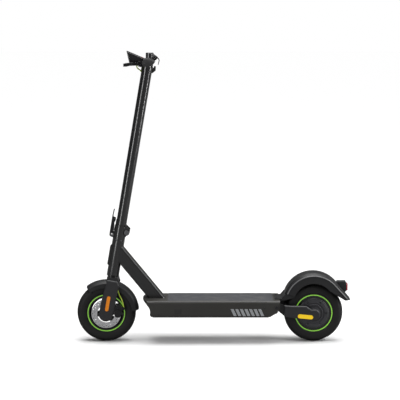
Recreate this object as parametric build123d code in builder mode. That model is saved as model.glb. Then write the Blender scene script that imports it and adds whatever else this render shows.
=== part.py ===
from build123d import *
from math import atan2, cos, radians, sin, tan
import os

os.makedirs("parts", exist_ok=True)

# Electric kick scooter, in millimetres. X points to the rear, Y to the rider's right, Z up, floor at Z = 0.

# Overall sizes
overall_length = 1180.0
wheelbase = 896.0
tyre_radius = 127.0
tyre_width = 62.0
bar_width = 480.0
head_lean = 9.8

# Gaps between pieces
seat_gap = 0.3
run_gap = 0.05

# Wheels
bead_radius = 81.5
barrel_wall = 9.5
barrel_half = 24.0
flange_wall = 3.0
flange_lip = 2.5
tyre_wall = 6.0
bead_wall = 6.0
stripe_inner = 77.2
stripe_outer = 81.0
stripe_depth = 0.8
axle_radius = 6.0
nut_radius = 9.5
nut_height = 4.5

# Front hub, rotor and spokes
hub_radius = 24.0
hub_far = 22.0
rotor_seat = 39.7
rotor_radius = 63.0
rotor_inner = 38.0
rotor_wall = 2.0
spoke_count = 3
spoke_width = 18.0
spoke_depth = 18.0
spoke_angle = 70.0

# Fork and head
leg_inner = 44.0
leg_wall = 10.0
cover_wall = 8.0
cover_bevel = 3.0
fender_gap = 13.0
fender_wall = 3.0
crown_low = 140.6
crown_high = 162.0
head_low = 162.4
head_high = 309.5
head_radius = 26.5
head_bore = 16.0
bearing_radius = 20.0
bearing_height = 11.7
steerer_radius = 15.0
steerer_bore = 9.5
steerer_top = 330.0
base_low = head_high + seat_gap
base_high = 384.3
hinge_along = 361.0
hinge_behind = 29.6
hinge_radius = 12.0
hinge_pin = 4.0
lug_half = 12.0
ear_outer = 22.0
latch_along = 342.0
latch_front = 33.0
latch_radius = 10.0
latch_half = 8.5
latch_tube = 6.5
latch_tube_bore = 4.5

# Stem and handlebar
stem_radius = 22.5
stem_wall = 2.5
stem_low = 390.0
stem_high = 1078.0
foot_radius = 24.5
bar_along = 1103.0
bar_behind = 4.4
bar_radius = 11.0
bar_wall = 2.0
clamp_half = 22.0
clamp_radius = 17.5
grip_inner = 132.0

# Down tube
neck_height = 58.0
neck_width = 48.0
neck_round = 10.0
neck_wall = 2.5
neck_slope = 51.0
neck_foot_x = -245.4

# Deck
deck_width = 170.0
deck_top = 192.0
deck_low = 120.0
deck_front = -305.0
deck_rear = 284.0
deck_round = 12.0
deck_wall = 3.0
bulkhead_x = 236.0
bulkhead_wall = 4.0
ear_half = 74.7
ear_ceiling = 182.0
mat_wall = 2.5
mat_front = -198.0
mat_rear = 256.0
cover_low_wall = 3.0

# Rear swing arm
pivot_x = 271.0
pivot_z = 163.0
pivot_radius = 6.0
yoke_radius = 15.0
arm_inner = 48.0
arm_wall = 8.0
arm_cover_wall = 11.7

# Motor
motor_radius = 65.0
shell_half = 38.0
cover_depth = 8.0
stator_radius = 61.5
stator_half = 18.0

# Rear fender, an arc with a straight tail, in angles from +X about its own centre
fender_radius = 130.5
fender_height = 173.0
fender_front_angle = 163.0
fender_tail_angle = 40.0
fender_tip_height = 187.0

# Worked-out places
axle_height = tyre_radius
front_axle_x = tyre_radius - overall_length / 2
rear_axle_x = front_axle_x + wheelbase
lean = radians(head_lean)
column_up = Vector(sin(lean), 0, cos(lean))
column_back = Vector(cos(lean), 0, -sin(lean))
front_centre = Vector(front_axle_x, 0, axle_height)
rear_centre = Vector(rear_axle_x, 0, axle_height)
barrel_radius = bead_radius - barrel_wall
flange_half = barrel_half + flange_wall
flange_radius = bead_radius + flange_lip
rotor_face = -rotor_seat - rotor_wall
leg_outer = leg_inner + leg_wall
blade_inner = leg_outer + seat_gap
blade_outer = blade_inner + cover_wall


def column_point(along, behind=0.0, side=0.0):
    """A point given along the steering axis from the front axle, behind it and to its side."""
    return front_centre + column_up * along + column_back * behind + Vector(0, side, 0)


def column_plane(along, behind=0.0):
    """A plane square to the steering axis, its x pointing back."""
    return Plane(origin=column_point(along, behind), x_dir=column_back, z_dir=column_up)


def column_side(side=0.0):
    """A side plane with x behind the steering axis and y along it, facing the left."""
    return Plane(origin=column_point(0, 0, side), x_dir=column_back, z_dir=(0, -1, 0))


def side_plane(side=0.0):
    """A side plane with x = X and y = Z, facing the left."""
    return Plane(origin=(0, side, 0), x_dir=(1, 0, 0), z_dir=(0, -1, 0))


def wheel_side(centre, side=0.0):
    """A side plane centred on a wheel."""
    return Plane(origin=centre + Vector(0, side, 0), x_dir=(1, 0, 0), z_dir=(0, -1, 0))


def wheel_section(centre, angle=90.0):
    """A half plane through a wheel's axis, with x = Y and y outwards at the given angle."""
    turn = radians(angle)
    return Plane(origin=centre, x_dir=(0, 1, 0), z_dir=(sin(turn), 0, -cos(turn)))


def wheel_axis(centre):
    return Axis(centre, (0, 1, 0))


def mirrored_loop(points):
    """Close a half outline, given on the +x side from one end to the other, with its mirror image."""
    return points + [(-x, y) for x, y in reversed(points)]


# Wheels ------------------------------------------------------------------------------------------

def tyre_sketch(centre):
    """The section of a hollow tyre, on a half plane through the wheel's axis."""
    half = tyre_width / 2
    shoulder = (bead_radius + tyre_radius) / 2
    bead = barrel_half - seat_gap
    lip = flange_radius + seat_gap
    with BuildSketch(wheel_section(centre)) as section:
        with BuildLine():
            Polyline(
                (bead - bead_wall, bead_radius + seat_gap),
                (bead, bead_radius + seat_gap),
                (bead, lip),
                (flange_half + seat_gap, lip),
                (half, shoulder),
            )
            ThreePointArc((half, shoulder), (0, tyre_radius), (-half, shoulder))
            Polyline(
                (-half, shoulder),
                (-flange_half - seat_gap, lip),
                (-bead, lip),
                (-bead, bead_radius + seat_gap),
                (bead_wall - bead, bead_radius + seat_gap),
                (tyre_wall - half, shoulder),
            )
            inner = half - tyre_wall
            ThreePointArc((-inner, shoulder), (0, tyre_radius - tyre_wall), (inner, shoulder))
            Line((inner, shoulder), (bead - bead_wall, bead_radius + seat_gap))
        make_face()
    return section.sketch


def barrel_points():
    """Half of the rim barrel's outline, with its two flanges."""
    return [
        (flange_half, barrel_radius),
        (flange_half, flange_radius),
        (barrel_half, flange_radius),
        (barrel_half, bead_radius),
    ]


for end, centre in (("front", front_centre), ("rear", rear_centre)):
    with BuildPart() as tyre:
        add(tyre_sketch(centre))
        revolve(axis=wheel_axis(centre))
    tyre.part.label = f"{end}_tyre"
    export_step(tyre.part, f"parts/{end}_tyre.step")

    with BuildPart() as stripes:
        for side in (-1, 1):
            with BuildSketch(wheel_side(centre, side * flange_half)):
                Circle(stripe_outer)
                Circle(stripe_inner, mode=Mode.SUBTRACT)
            extrude(amount=-side * stripe_depth)
    stripes.part.label = f"{end}_rim_stripes"
    export_step(stripes.part, f"parts/{end}_rim_stripes.step")

# Front rim: barrel, three spokes, hub and the arms that carry the rotor
arm_reach = 43.5
arm_width = 14.0
arm_thickness = 5.0
valve_radius = 3.0
valve_length = 22.0
with BuildPart() as front_rim:
    with BuildSketch(wheel_section(front_centre)):
        Polygon(*mirrored_loop(barrel_points()), align=None)
    revolve(axis=wheel_axis(front_centre))
    with BuildSketch(wheel_side(front_centre)):
        with PolarLocations((hub_radius + barrel_radius) / 2, spoke_count, spoke_angle):
            Rectangle(barrel_radius - hub_radius + 2 * flange_wall, spoke_width)
    extrude(amount=spoke_depth / 2, both=True)
    with BuildSketch(wheel_side(front_centre, hub_far)):
        Circle(hub_radius)
    extrude(amount=hub_far + rotor_seat)
    with BuildSketch(wheel_side(front_centre, arm_thickness - rotor_seat)):
        with PolarLocations((hub_radius + arm_reach) / 2, spoke_count, spoke_angle):
            Rectangle(arm_reach - hub_radius + 2 * flange_wall, arm_width)
    extrude(amount=arm_thickness)
    with BuildSketch(Plane.XY.offset(axle_height + barrel_radius - valve_length)):
        with Locations((front_axle_x, 0)):
            Circle(valve_radius)
    extrude(amount=valve_length + 1)
    with BuildSketch(wheel_side(front_centre, hub_far)):
        Circle(axle_radius + run_gap)
    extrude(amount=hub_far + rotor_seat, mode=Mode.SUBTRACT)
front_rim.part.label = "front_rim"
export_step(front_rim.part, "parts/front_rim.step")

# Brake rotor with two rings of holes and its three bolts
rotor_holes = 18
rotor_hole_radius = 2.0
rotor_bolt_circle = 41.5
rotor_bolt_radius = 2.9
rotor_bolt_height = 1.4
with BuildPart() as brake_rotor:
    with BuildSketch(wheel_side(front_centre, -rotor_seat)):
        Circle(rotor_radius)
        Circle(rotor_inner, mode=Mode.SUBTRACT)
        with PolarLocations(rotor_radius - 5, rotor_holes):
            Circle(rotor_hole_radius, mode=Mode.SUBTRACT)
        with PolarLocations(rotor_radius - 11, rotor_holes, 180 / rotor_holes):
            Circle(rotor_hole_radius, mode=Mode.SUBTRACT)
    extrude(amount=rotor_wall)
    with BuildSketch(wheel_side(front_centre, rotor_face)):
        with PolarLocations(rotor_bolt_circle, spoke_count, spoke_angle):
            Circle(rotor_bolt_radius)
    extrude(amount=rotor_bolt_height)
brake_rotor.part.label = "brake_rotor"
export_step(brake_rotor.part, "parts/brake_rotor.step")


def stepped_axle(centre, reach, steps, nut_face):
    """An axle along Y with wider steps, each (from, to, radius), and a hexagon nut at each end."""
    with BuildPart() as axle:
        with BuildSketch(wheel_side(centre)):
            Circle(axle_radius)
        extrude(amount=reach, both=True)
        for low, high, radius in steps:
            with BuildSketch(wheel_side(centre, high)):
                Circle(radius)
            extrude(amount=high - low)
        for side in (-1, 1):
            with BuildSketch(wheel_side(centre, side * nut_face)):
                RegularPolygon(nut_radius, 6)
            extrude(amount=-side * nut_height)
    return axle.part


# Front axle: a long spacer on the far side and a short one beside the rotor
spacer_radius = 9.0
front_steps = [(hub_far + seat_gap, leg_inner - seat_gap, spacer_radius)]
front_steps.append((seat_gap - leg_inner, -rotor_seat - seat_gap, spacer_radius))
front_axle = stepped_axle(front_centre, blade_inner + nut_height + 1, front_steps, blade_inner)
front_axle.label = "front_axle"
export_step(front_axle, "parts/front_axle.step")

# Rear hub motor: the shell is rim, drum and far cover in one, and the near cover screws on
shell_inner = motor_radius + 2.0
drum_wall = 4.0
with BuildPart() as motor_shell:
    with BuildSketch(wheel_section(rear_centre)):
        Polygon(*mirrored_loop(barrel_points()), align=None)
        Polygon(
            (-flange_half, shell_inner),
            (-flange_half, barrel_radius + 1),
            (flange_half, barrel_radius + 1),
            (flange_half, shell_inner),
            (shell_half, motor_radius - 10),
            (shell_half, axle_radius + run_gap),
            (shell_half - cover_depth, axle_radius + run_gap),
            (shell_half - cover_depth, motor_radius - 12),
            (flange_half - drum_wall, shell_inner - drum_wall),
            (flange_half - drum_wall, shell_inner),
            align=None,
        )
    revolve(axis=wheel_axis(rear_centre))
    with BuildSketch(wheel_section(rear_centre)):
        Polygon(
            (-stator_half, stator_radius + 0.7),
            (stator_half, stator_radius + 0.7),
            (stator_half, shell_inner + 1),
            (-stator_half, shell_inner + 1),
            align=None,
        )
    revolve(axis=wheel_axis(rear_centre))
motor_shell.part.label = "motor_shell"
export_step(motor_shell.part, "parts/motor_shell.step")

# Near motor cover: a dished disc with a raised ring
screw_circle = 53.0
screw_radius = 2.6
screw_height = 1.2
screw_count = 6
ring_radius = 58.5
ring_rise = 1.2
boss_radius = 20.0
with BuildPart() as motor_cover:
    with BuildSketch(wheel_section(rear_centre)):
        Polygon(
            (-flange_half, axle_radius + run_gap),
            (-shell_half, axle_radius + run_gap),
            (-shell_half, boss_radius),
            (-shell_half + 3, boss_radius + 8),
            (-shell_half + 3.5, ring_radius - 2),
            (-shell_half + 3.5 - ring_rise, ring_radius - 1),
            (-shell_half + 3.5 - ring_rise, ring_radius + 1),
            (-shell_half + 4, ring_radius + 2),
            (-shell_half + 6, motor_radius),
            (-flange_half, shell_inner - seat_gap),
            (-flange_half + 3, shell_inner - seat_gap),
            (-flange_half + 3, stator_radius - 8),
            (-flange_half, stator_radius - 12),
            align=None,
        )
    revolve(axis=wheel_axis(rear_centre))
motor_cover.part.label = "motor_cover"
export_step(motor_cover.part, "parts/motor_cover.step")

with BuildPart() as cover_screws:
    with BuildSketch(wheel_side(rear_centre, -shell_half + 3.3)):
        with PolarLocations(screw_circle, screw_count):
            Circle(screw_radius)
    extrude(amount=screw_height)
cover_screws.part.label = "motor_cover_screws"
export_step(cover_screws.part, "parts/motor_cover_screws.step")

# Stator stack on the fixed axle, with slots for the windings
slot_count = 18
with BuildPart() as motor_stator:
    with BuildSketch(wheel_side(rear_centre)):
        Circle(stator_radius)
        Circle(axle_radius + run_gap, mode=Mode.SUBTRACT)
        with PolarLocations(stator_radius - 10, slot_count):
            Rectangle(16, 7, mode=Mode.SUBTRACT)
    extrude(amount=stator_half, both=True)
motor_stator.part.label = "motor_stator"
export_step(motor_stator.part, "parts/motor_stator.step")

rear_steps = [(shell_half + seat_gap, arm_inner - seat_gap, 10.0)]
rear_steps.append((seat_gap - arm_inner, -shell_half - seat_gap, 10.0))
arm_outer = arm_inner + arm_wall
arm_cover_inner = arm_outer + seat_gap
arm_cover_outer = arm_cover_inner + arm_cover_wall
rear_axle = stepped_axle(rear_centre, arm_cover_inner + nut_height + 1, rear_steps, arm_cover_inner)
rear_axle.label = "rear_axle"
export_step(rear_axle, "parts/rear_axle.step")

# Fork --------------------------------------------------------------------------------------------

# Lower brake cable: inside the steerer, out through the crown and down behind the left leg
cable_radius = 2.5
cable_side = -40.8
lower_route = [
    column_point(378),
    column_point(176),
    column_point(152, 5, -9),
    column_point(137, 21, -34),
    column_point(120, 29, cable_side),
    column_point(94, 40, cable_side),
    column_point(66, 62, cable_side - 2),
    column_point(43.4, 69.5, cable_side - 5),
]


def bend_radii(route):
    """The largest arc at each corner: 0.45 of the shorter run, over the tangent of half the turn."""
    radii = []
    for before, corner, after in zip(route, route[1:], route[2:]):
        turn = (corner - before).get_angle(after - corner)
        shorter = min((corner - before).length, (after - corner).length)
        radii.append(0.45 * shorter / tan(radians(turn / 2)))
    return radii


def cable_tube(route, radius):
    """A tube along straight runs joined by tangent arcs."""
    with BuildPart() as tube:
        with BuildLine() as path:
            FilletPolyline(*route, radius=bend_radii(route))
        with BuildSketch(Plane(origin=route[0], z_dir=route[1] - route[0])):
            Circle(radius)
        sweep(path=path.line)
    return tube.part


lower_cable = cable_tube(lower_route, cable_radius)
lower_cable.label = "brake_cable_lower"
export_step(lower_cable, "parts/brake_cable_lower.step")
print("lower cable radii", [round(r, 1) for r in bend_radii(lower_route)])
lower_channel = cable_tube(lower_route, cable_radius + 0.8)

# Crown forging with the steerer tube
crown_front = -22.0
crown_back = 28.0
with BuildPart() as fork_crown:
    with BuildSketch(column_side(leg_inner - seat_gap)):
        Polygon(
            (crown_front, crown_low),
            (crown_back, crown_low),
            (crown_back, crown_high - 6),
            (crown_back - 6, crown_high),
            (crown_front + 6, crown_high),
            (crown_front, crown_high - 6),
            align=None,
        )
    extrude(amount=2 * (leg_inner - seat_gap))
    with BuildSketch(column_plane(crown_low)):
        Circle(steerer_radius)
    extrude(amount=steerer_top - crown_low)
    with BuildSketch(column_plane(crown_low + 4)):
        Circle(steerer_bore)
    extrude(amount=steerer_top - crown_low, mode=Mode.SUBTRACT)
    add(lower_channel, mode=Mode.SUBTRACT)
fork_crown.part.label = "fork_crown"
export_step(fork_crown.part, "parts/fork_crown.step")

# Legs: flat plates from the crown to the axle, the left one with a tab for the caliper
leg_end = 22.0
caliper_front = 36.0
with BuildPart() as fork_legs:
    for side in (-1, 1):
        with BuildSketch(column_side(side * leg_inner)):
            Polygon(
                (-16, crown_high - 1),
                (-leg_end, 0),
                (leg_end, 0),
                (26, 60),
                (26, crown_high - 1),
                align=None,
            )
            Circle(leg_end)
            if side < 0:
                Polygon(
                    (leg_end - 6, 4),
                    (caliper_front - seat_gap, 4),
                    (caliper_front - seat_gap, 46),
                    (20, 52),
                    align=None,
                )
            Circle(axle_radius + seat_gap, mode=Mode.SUBTRACT)
        extrude(amount=-side * leg_wall)
fork_legs.part.label = "fork_legs"
export_step(fork_legs.part, "parts/fork_legs.step")

# Blade covers: bevelled shells over the legs, with a pocket for the axle nut
blade_end = 30.0
blade_points = [
    (-19, crown_high - 10),
    (-19, 136),
    (-25.7, 90),
    (-29, 41),
    (-blade_end, 0),
    (blade_end, 0),
    (31.5, 60),
    (34.8, 100),
    (34.8, 135),
    (26, crown_high - 10),
]
pocket_radius = 13.0
pocket_depth = 5.8
with BuildPart() as fork_covers:
    for side in (-1, 1):
        with BuildSketch(column_side(side * blade_inner)):
            Polygon(*blade_points, align=None)
            Circle(blade_end)
        extrude(amount=-side * cover_wall)
    outer_edges = fork_covers.faces().filter_by(Axis.Y).group_by(Axis.Y)
    chamfer(outer_edges[0].edges() + outer_edges[-1].edges(), cover_bevel)
    for side in (-1, 1):
        with BuildSketch(column_side(side * blade_inner)):
            Circle(pocket_radius)
        extrude(amount=-side * pocket_depth, mode=Mode.SUBTRACT)
fork_covers.part.label = "fork_covers"
export_step(fork_covers.part, "parts/fork_covers.step")

# Side reflectors on the blades
pill_length = 66.0
pill_width = 14.5
pill_depth = 2.0
with BuildPart() as front_reflectors:
    for side in (-1, 1):
        with BuildSketch(column_side(side * blade_outer)):
            with Locations((0.6, 50)):
                SlotOverall(pill_length, pill_width, rotation=90)
        extrude(amount=-side * pill_depth)
front_reflectors.part.label = "front_reflectors"
export_step(front_reflectors.part, "parts/front_reflectors.step")

# Front fender: a hooded arc just over the tyre
front_fender_radius = tyre_radius + fender_gap
front_fender_half = 37.0
front_skirt = 112.0
front_fender_start = 127.0
front_fender_end = 5.5


def fender_section(radius, crown_half, slope_half, half, slope_radius, skirt, wall):
    """Half of a hooded fender's section, as (side, radius) points: outside, then inside."""
    outside = [(crown_half, radius), (slope_half, slope_radius), (half, skirt)]
    inside = [
        (half - wall, skirt),
        (slope_half - wall, slope_radius - wall / 3),
        (crown_half - wall / 2, radius - wall),
    ]
    return outside, inside


def fender_loop(outside, inside):
    right = outside + inside
    return outside + inside + [(-x, y) for x, y in reversed(right)]


with BuildPart() as front_fender:
    slope_half = front_fender_half - 2
    front_hood = fender_section(
        front_fender_radius, 18, slope_half, front_fender_half, 130, front_skirt, fender_wall
    )
    with BuildSketch(wheel_section(front_centre, front_fender_start)):
        Polygon(*fender_loop(*front_hood), align=None)
    revolve(axis=wheel_axis(front_centre), revolution_arc=front_fender_start - front_fender_end)
front_fender.part.label = "front_fender"
export_step(front_fender.part, "parts/front_fender.step")

# Caliper: a block astride the rotor, with its two pads
caliper_back = 66.0
caliper_low = -6.0
caliper_high = 52.0
caliper_outer = 52.0
caliper_inner = 32.5
pad_wall = 1.9
pad_inner = 48.0
slot_outer = -rotor_face + seat_gap + pad_wall
slot_inner = rotor_seat - seat_gap - pad_wall
stop_low = 33.0
stop_high = 42.0
with BuildPart() as brake_caliper:
    with BuildSketch(column_side(-caliper_inner)):
        Polygon(
            (caliper_front, caliper_low + 6),
            (caliper_front + 8, caliper_low),
            (caliper_back - 8, caliper_low),
            (caliper_back, caliper_low + 10),
            (caliper_back, caliper_high - 14),
            (caliper_back - 12, caliper_high),
            (caliper_front, caliper_high),
            align=None,
        )
    extrude(amount=caliper_outer - caliper_inner)
    with BuildSketch(wheel_side(front_centre, -slot_inner)):
        Circle(rotor_radius + 2)
    extrude(amount=slot_outer - slot_inner, mode=Mode.SUBTRACT)
    with BuildSketch(wheel_side(front_centre, -caliper_inner + 1)):
        Circle(pad_inner)
    extrude(amount=slot_outer - caliper_inner + 1, mode=Mode.SUBTRACT)
    with BuildSketch(column_side(cable_side - 1)):
        Polygon(
            (caliper_back - 4, stop_low),
            (caliper_back + 10, stop_low),
            (caliper_back + 10, stop_high),
            (caliper_back - 4, stop_high),
            align=None,
        )
    extrude(amount=9)
    with BuildSketch(column_side(-slot_inner)):
        with Locations((caliper_front + 16, 24)):
            RectangleRounded(20, 24, 3)
        Circle(pad_inner + 1, mode=Mode.SUBTRACT)
        Circle(rotor_radius, mode=Mode.INTERSECT)
    pads = extrude(amount=pad_wall, mode=Mode.PRIVATE)
    add(pads)
    add(pads.moved(Location((0, rotor_face - seat_gap + slot_inner, 0))))
brake_caliper.part.label = "brake_caliper"
export_step(brake_caliper.part, "parts/brake_caliper.step")

# Caliper arm on the outer face, pulled by the cable
arm_pivot_behind = 50.0
arm_pivot_along = 22.0
arm_end_behind = 71.0
arm_end_along = 14.0
with BuildPart() as caliper_arm:
    with BuildSketch(column_side(-caliper_outer - seat_gap)):
        with Locations((arm_pivot_behind, arm_pivot_along)):
            Circle(8)
        with Locations((arm_end_behind, arm_end_along)):
            Circle(4)
        make_hull()
    extrude(amount=4)
    with BuildSketch(column_side(-caliper_outer - seat_gap - 4)):
        with Locations((arm_pivot_behind, arm_pivot_along)):
            Circle(5)
    extrude(amount=2.5)
caliper_arm.part.label = "caliper_arm"
export_step(caliper_arm.part, "parts/caliper_arm.step")

# Head --------------------------------------------------------------------------------------------

with BuildPart() as head_tube:
    with BuildSketch(column_plane(head_low)):
        Circle(head_radius)
        Circle(head_bore, mode=Mode.SUBTRACT)
    extrude(amount=head_high - head_low)
    for low in (head_low, head_high - bearing_height - seat_gap):
        with BuildSketch(column_plane(low)):
            Circle(bearing_radius + run_gap)
        extrude(amount=bearing_height + seat_gap, mode=Mode.SUBTRACT)
head_tube.part.label = "head_tube"
export_step(head_tube.part, "parts/head_tube.step")

with BuildPart() as headset_bearings:
    for low in (head_low + seat_gap / 2, head_high - bearing_height - seat_gap / 2):
        with BuildSketch(column_plane(low)):
            Circle(bearing_radius)
            Circle(steerer_radius + run_gap, mode=Mode.SUBTRACT)
        extrude(amount=bearing_height)
headset_bearings.part.label = "headset_bearings"
export_step(headset_bearings.part, "parts/headset_bearings.step")

# Head plate: a saddle over the front of the head tube
plate_low = 210.0
plate_high = 300.0
plate_front = 31.3
plate_half = 17.0
with BuildPart() as head_plate:
    with BuildSketch(column_side(plate_half)):
        Polygon(
            (-15, plate_low - 2),
            (-plate_front, plate_low),
            (-plate_front, plate_high - 10),
            (-plate_front + 8, plate_high),
            (-15, plate_high),
            align=None,
        )
    extrude(amount=2 * plate_half)
    long_edges = head_plate.edges().filter_by(Axis(column_point(0), column_up)).group_by(Axis.X)[0]
    chamfer(long_edges, 4)
    with BuildSketch(column_plane(plate_low - 10)):
        Circle(head_radius + seat_gap)
    extrude(amount=plate_high - plate_low + 20, mode=Mode.SUBTRACT)
head_plate.part.label = "head_plate"
export_step(head_plate.part, "parts/head_plate.step")

# Down tube: a rounded box section from the head tube to the deck
slope = radians(neck_slope)
neck_up = Vector(-cos(slope), 0, sin(slope))
neck_foot = Vector(neck_foot_x, 0, deck_top)
neck_length = 340.0
neck_start = 60.0
with BuildPart() as down_tube:
    with BuildSketch(Plane(origin=neck_foot - neck_up * neck_start, x_dir=(0, 1, 0), z_dir=neck_up)):
        RectangleRounded(neck_width, neck_height, neck_round)
        offset(amount=-neck_wall, mode=Mode.SUBTRACT)
    extrude(amount=neck_length)
    split(bisect_by=Plane.XY.offset(deck_top), keep=Keep.TOP)
    split(bisect_by=Plane(origin=column_point(0), z_dir=column_back), keep=Keep.TOP)
    with BuildSketch(column_plane(head_low - 40)):
        Circle(head_radius + seat_gap)
    extrude(amount=head_high - head_low + 80, mode=Mode.SUBTRACT)
down_tube.part.label = "down_tube"
export_step(down_tube.part, "parts/down_tube.step")

# Folding joint -----------------------------------------------------------------------------------

# Base: a round column on the steerer, with the hinge lug behind and the latch ears in front
base_screw_radius = 3.4
base_screw_height = 2.0
base_screw_seat = 21.0
base_screw_places = [(-9, base_low + 14), (12, base_low + 14)]
with BuildPart() as folding_base:
    with BuildSketch(column_plane(base_low)):
        Circle(head_radius)
    extrude(amount=base_high - base_low)
    with BuildSketch(column_side(ear_outer + 2)):
        Polygon(
            (hinge_behind - hinge_radius - 1, base_high + 1),
            (hinge_behind - hinge_radius - 1, hinge_along),
            (hinge_behind + 20, hinge_along),
            (hinge_behind + 20, base_high + 1),
            align=None,
        )
        with Locations((hinge_behind, hinge_along)):
            Circle(hinge_radius + 1)
    extrude(amount=2 * ear_outer + 4, mode=Mode.SUBTRACT)
    with BuildSketch(column_side(lug_half - seat_gap)):
        with Locations((hinge_behind, hinge_along)):
            Circle(hinge_radius)
        Polygon(
            (0, hinge_along - 24),
            (hinge_behind - 4, hinge_along - 22),
            (hinge_behind + 10, hinge_along - 6),
            (hinge_behind - 4, hinge_along + hinge_radius - 1),
            (0, hinge_along + hinge_radius - 1),
            align=None,
        )
    extrude(amount=2 * (lug_half - seat_gap))
    with BuildSketch(column_side(latch_half + 6)):
        with Locations((-latch_front, latch_along)):
            Circle(latch_radius)
        Polygon(
            (-latch_front, latch_along - latch_radius),
            (-latch_front, latch_along + latch_radius),
            (-10, latch_along + latch_radius + 4),
            (-10, latch_along - latch_radius - 4),
            align=None,
        )
    extrude(amount=2 * latch_half + 12)
    with BuildSketch(column_side(latch_half + seat_gap)):
        with Locations((-latch_front, latch_along)):
            Circle(latch_radius + 0.6)
    extrude(amount=2 * (latch_half + seat_gap), mode=Mode.SUBTRACT)
    with BuildSketch(column_side(latch_half + seat_gap)):
        Polygon(
            (-latch_front - 12, latch_along - latch_radius - 0.6),
            (-head_radius - 0.5, latch_along - latch_radius - 0.6),
            (-head_radius - 0.5, base_high),
            (-latch_front - 12, base_high),
            align=None,
        )
    extrude(amount=2 * (latch_half + seat_gap), mode=Mode.SUBTRACT)
    with BuildSketch(column_side(latch_half + 8)):
        with Locations((-latch_front, latch_along)):
            Circle(latch_tube + run_gap)
    extrude(amount=2 * latch_half + 16, mode=Mode.SUBTRACT)
    with BuildSketch(column_side(ear_outer)):
        with Locations((hinge_behind, hinge_along)):
            Circle(hinge_pin + run_gap)
    extrude(amount=2 * ear_outer, mode=Mode.SUBTRACT)
    for side in (-1, 1):
        with BuildSketch(column_side(side * base_screw_seat)):
            with Locations(*base_screw_places):
                Circle(base_screw_radius + seat_gap)
        extrude(amount=-side * (head_radius - base_screw_seat + 1), mode=Mode.SUBTRACT)
    with BuildSketch(column_plane(base_low)):
        Circle(steerer_radius + run_gap)
    extrude(amount=steerer_top - base_low + seat_gap, mode=Mode.SUBTRACT)
    with BuildSketch(column_plane(base_low)):
        Circle(steerer_bore)
    extrude(amount=base_high - base_low + 1, mode=Mode.SUBTRACT)
folding_base.part.label = "folding_base"
export_step(folding_base.part, "parts/folding_base.step")

# Hinge pin with its two heads, the hollow latch pivot, and two clamp screws on each side
pin_head = 7.0
with BuildPart() as fold_pins:
    with BuildSketch(column_side(ear_outer + 2.3)):
        with Locations((hinge_behind, hinge_along)):
            Circle(hinge_pin)
    extrude(amount=2 * ear_outer + 4.6)
    for side in (-1, 1):
        with BuildSketch(column_side(side * (ear_outer + seat_gap))):
            with Locations((hinge_behind, hinge_along)):
                Circle(pin_head)
        extrude(amount=-side * 3)
        with BuildSketch(column_side(side * (ear_outer + seat_gap + 3))):
            with Locations((hinge_behind, hinge_along)):
                Circle(3)
        extrude(amount=side * 2, mode=Mode.SUBTRACT)
    with BuildSketch(column_side(latch_half + 6.6)):
        with Locations((-latch_front, latch_along)):
            Circle(latch_tube)
            Circle(latch_tube_bore, mode=Mode.SUBTRACT)
    extrude(amount=2 * latch_half + 13.2)
    for side in (-1, 1):
        with BuildSketch(column_side(side * base_screw_seat)):
            with Locations(*base_screw_places):
                Circle(base_screw_radius)
        extrude(amount=-side * base_screw_height)
fold_pins.part.label = "fold_pins"
export_step(fold_pins.part, "parts/fold_pins.step")

# Latch lever: a flat arm on the latch pivot, with a thin finger tip and an over-centre roller
lever_front = 43.5
lever_back = 27.0
lever_body_top = 417.0
lever_tip_top = 451.0
lever_tip_wall = 4.5
with BuildPart() as fold_lever:
    with BuildSketch(column_side(latch_half)):
        with Locations((-latch_front, latch_along)):
            Circle(latch_radius)
        Polygon(
            (-lever_front + 0.5, latch_along),
            (-lever_front, latch_along + 12),
            (-lever_front, lever_body_top - 2),
            (-lever_front + 1.5, lever_tip_top),
            (-lever_front + 1.5 + lever_tip_wall, lever_tip_top),
            (-lever_front + lever_tip_wall, lever_body_top + 8),
            (-lever_front + 6, lever_body_top),
            (-lever_back - 2, lever_body_top - 1),
            (-lever_back + 1, lever_body_top - 6),
            (-lever_back, lever_body_top - 16),
            (-lever_back - 3, lever_body_top - 22),
            (-lever_back, latch_along + 22),
            (-latch_front + 4, latch_along),
            align=None,
        )
        with Locations((-latch_front, latch_along)):
            Circle(latch_tube + run_gap, mode=Mode.SUBTRACT)
    extrude(amount=2 * latch_half)
fold_lever.part.label = "fold_lever"
export_step(fold_lever.part, "parts/fold_lever.step")

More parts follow.
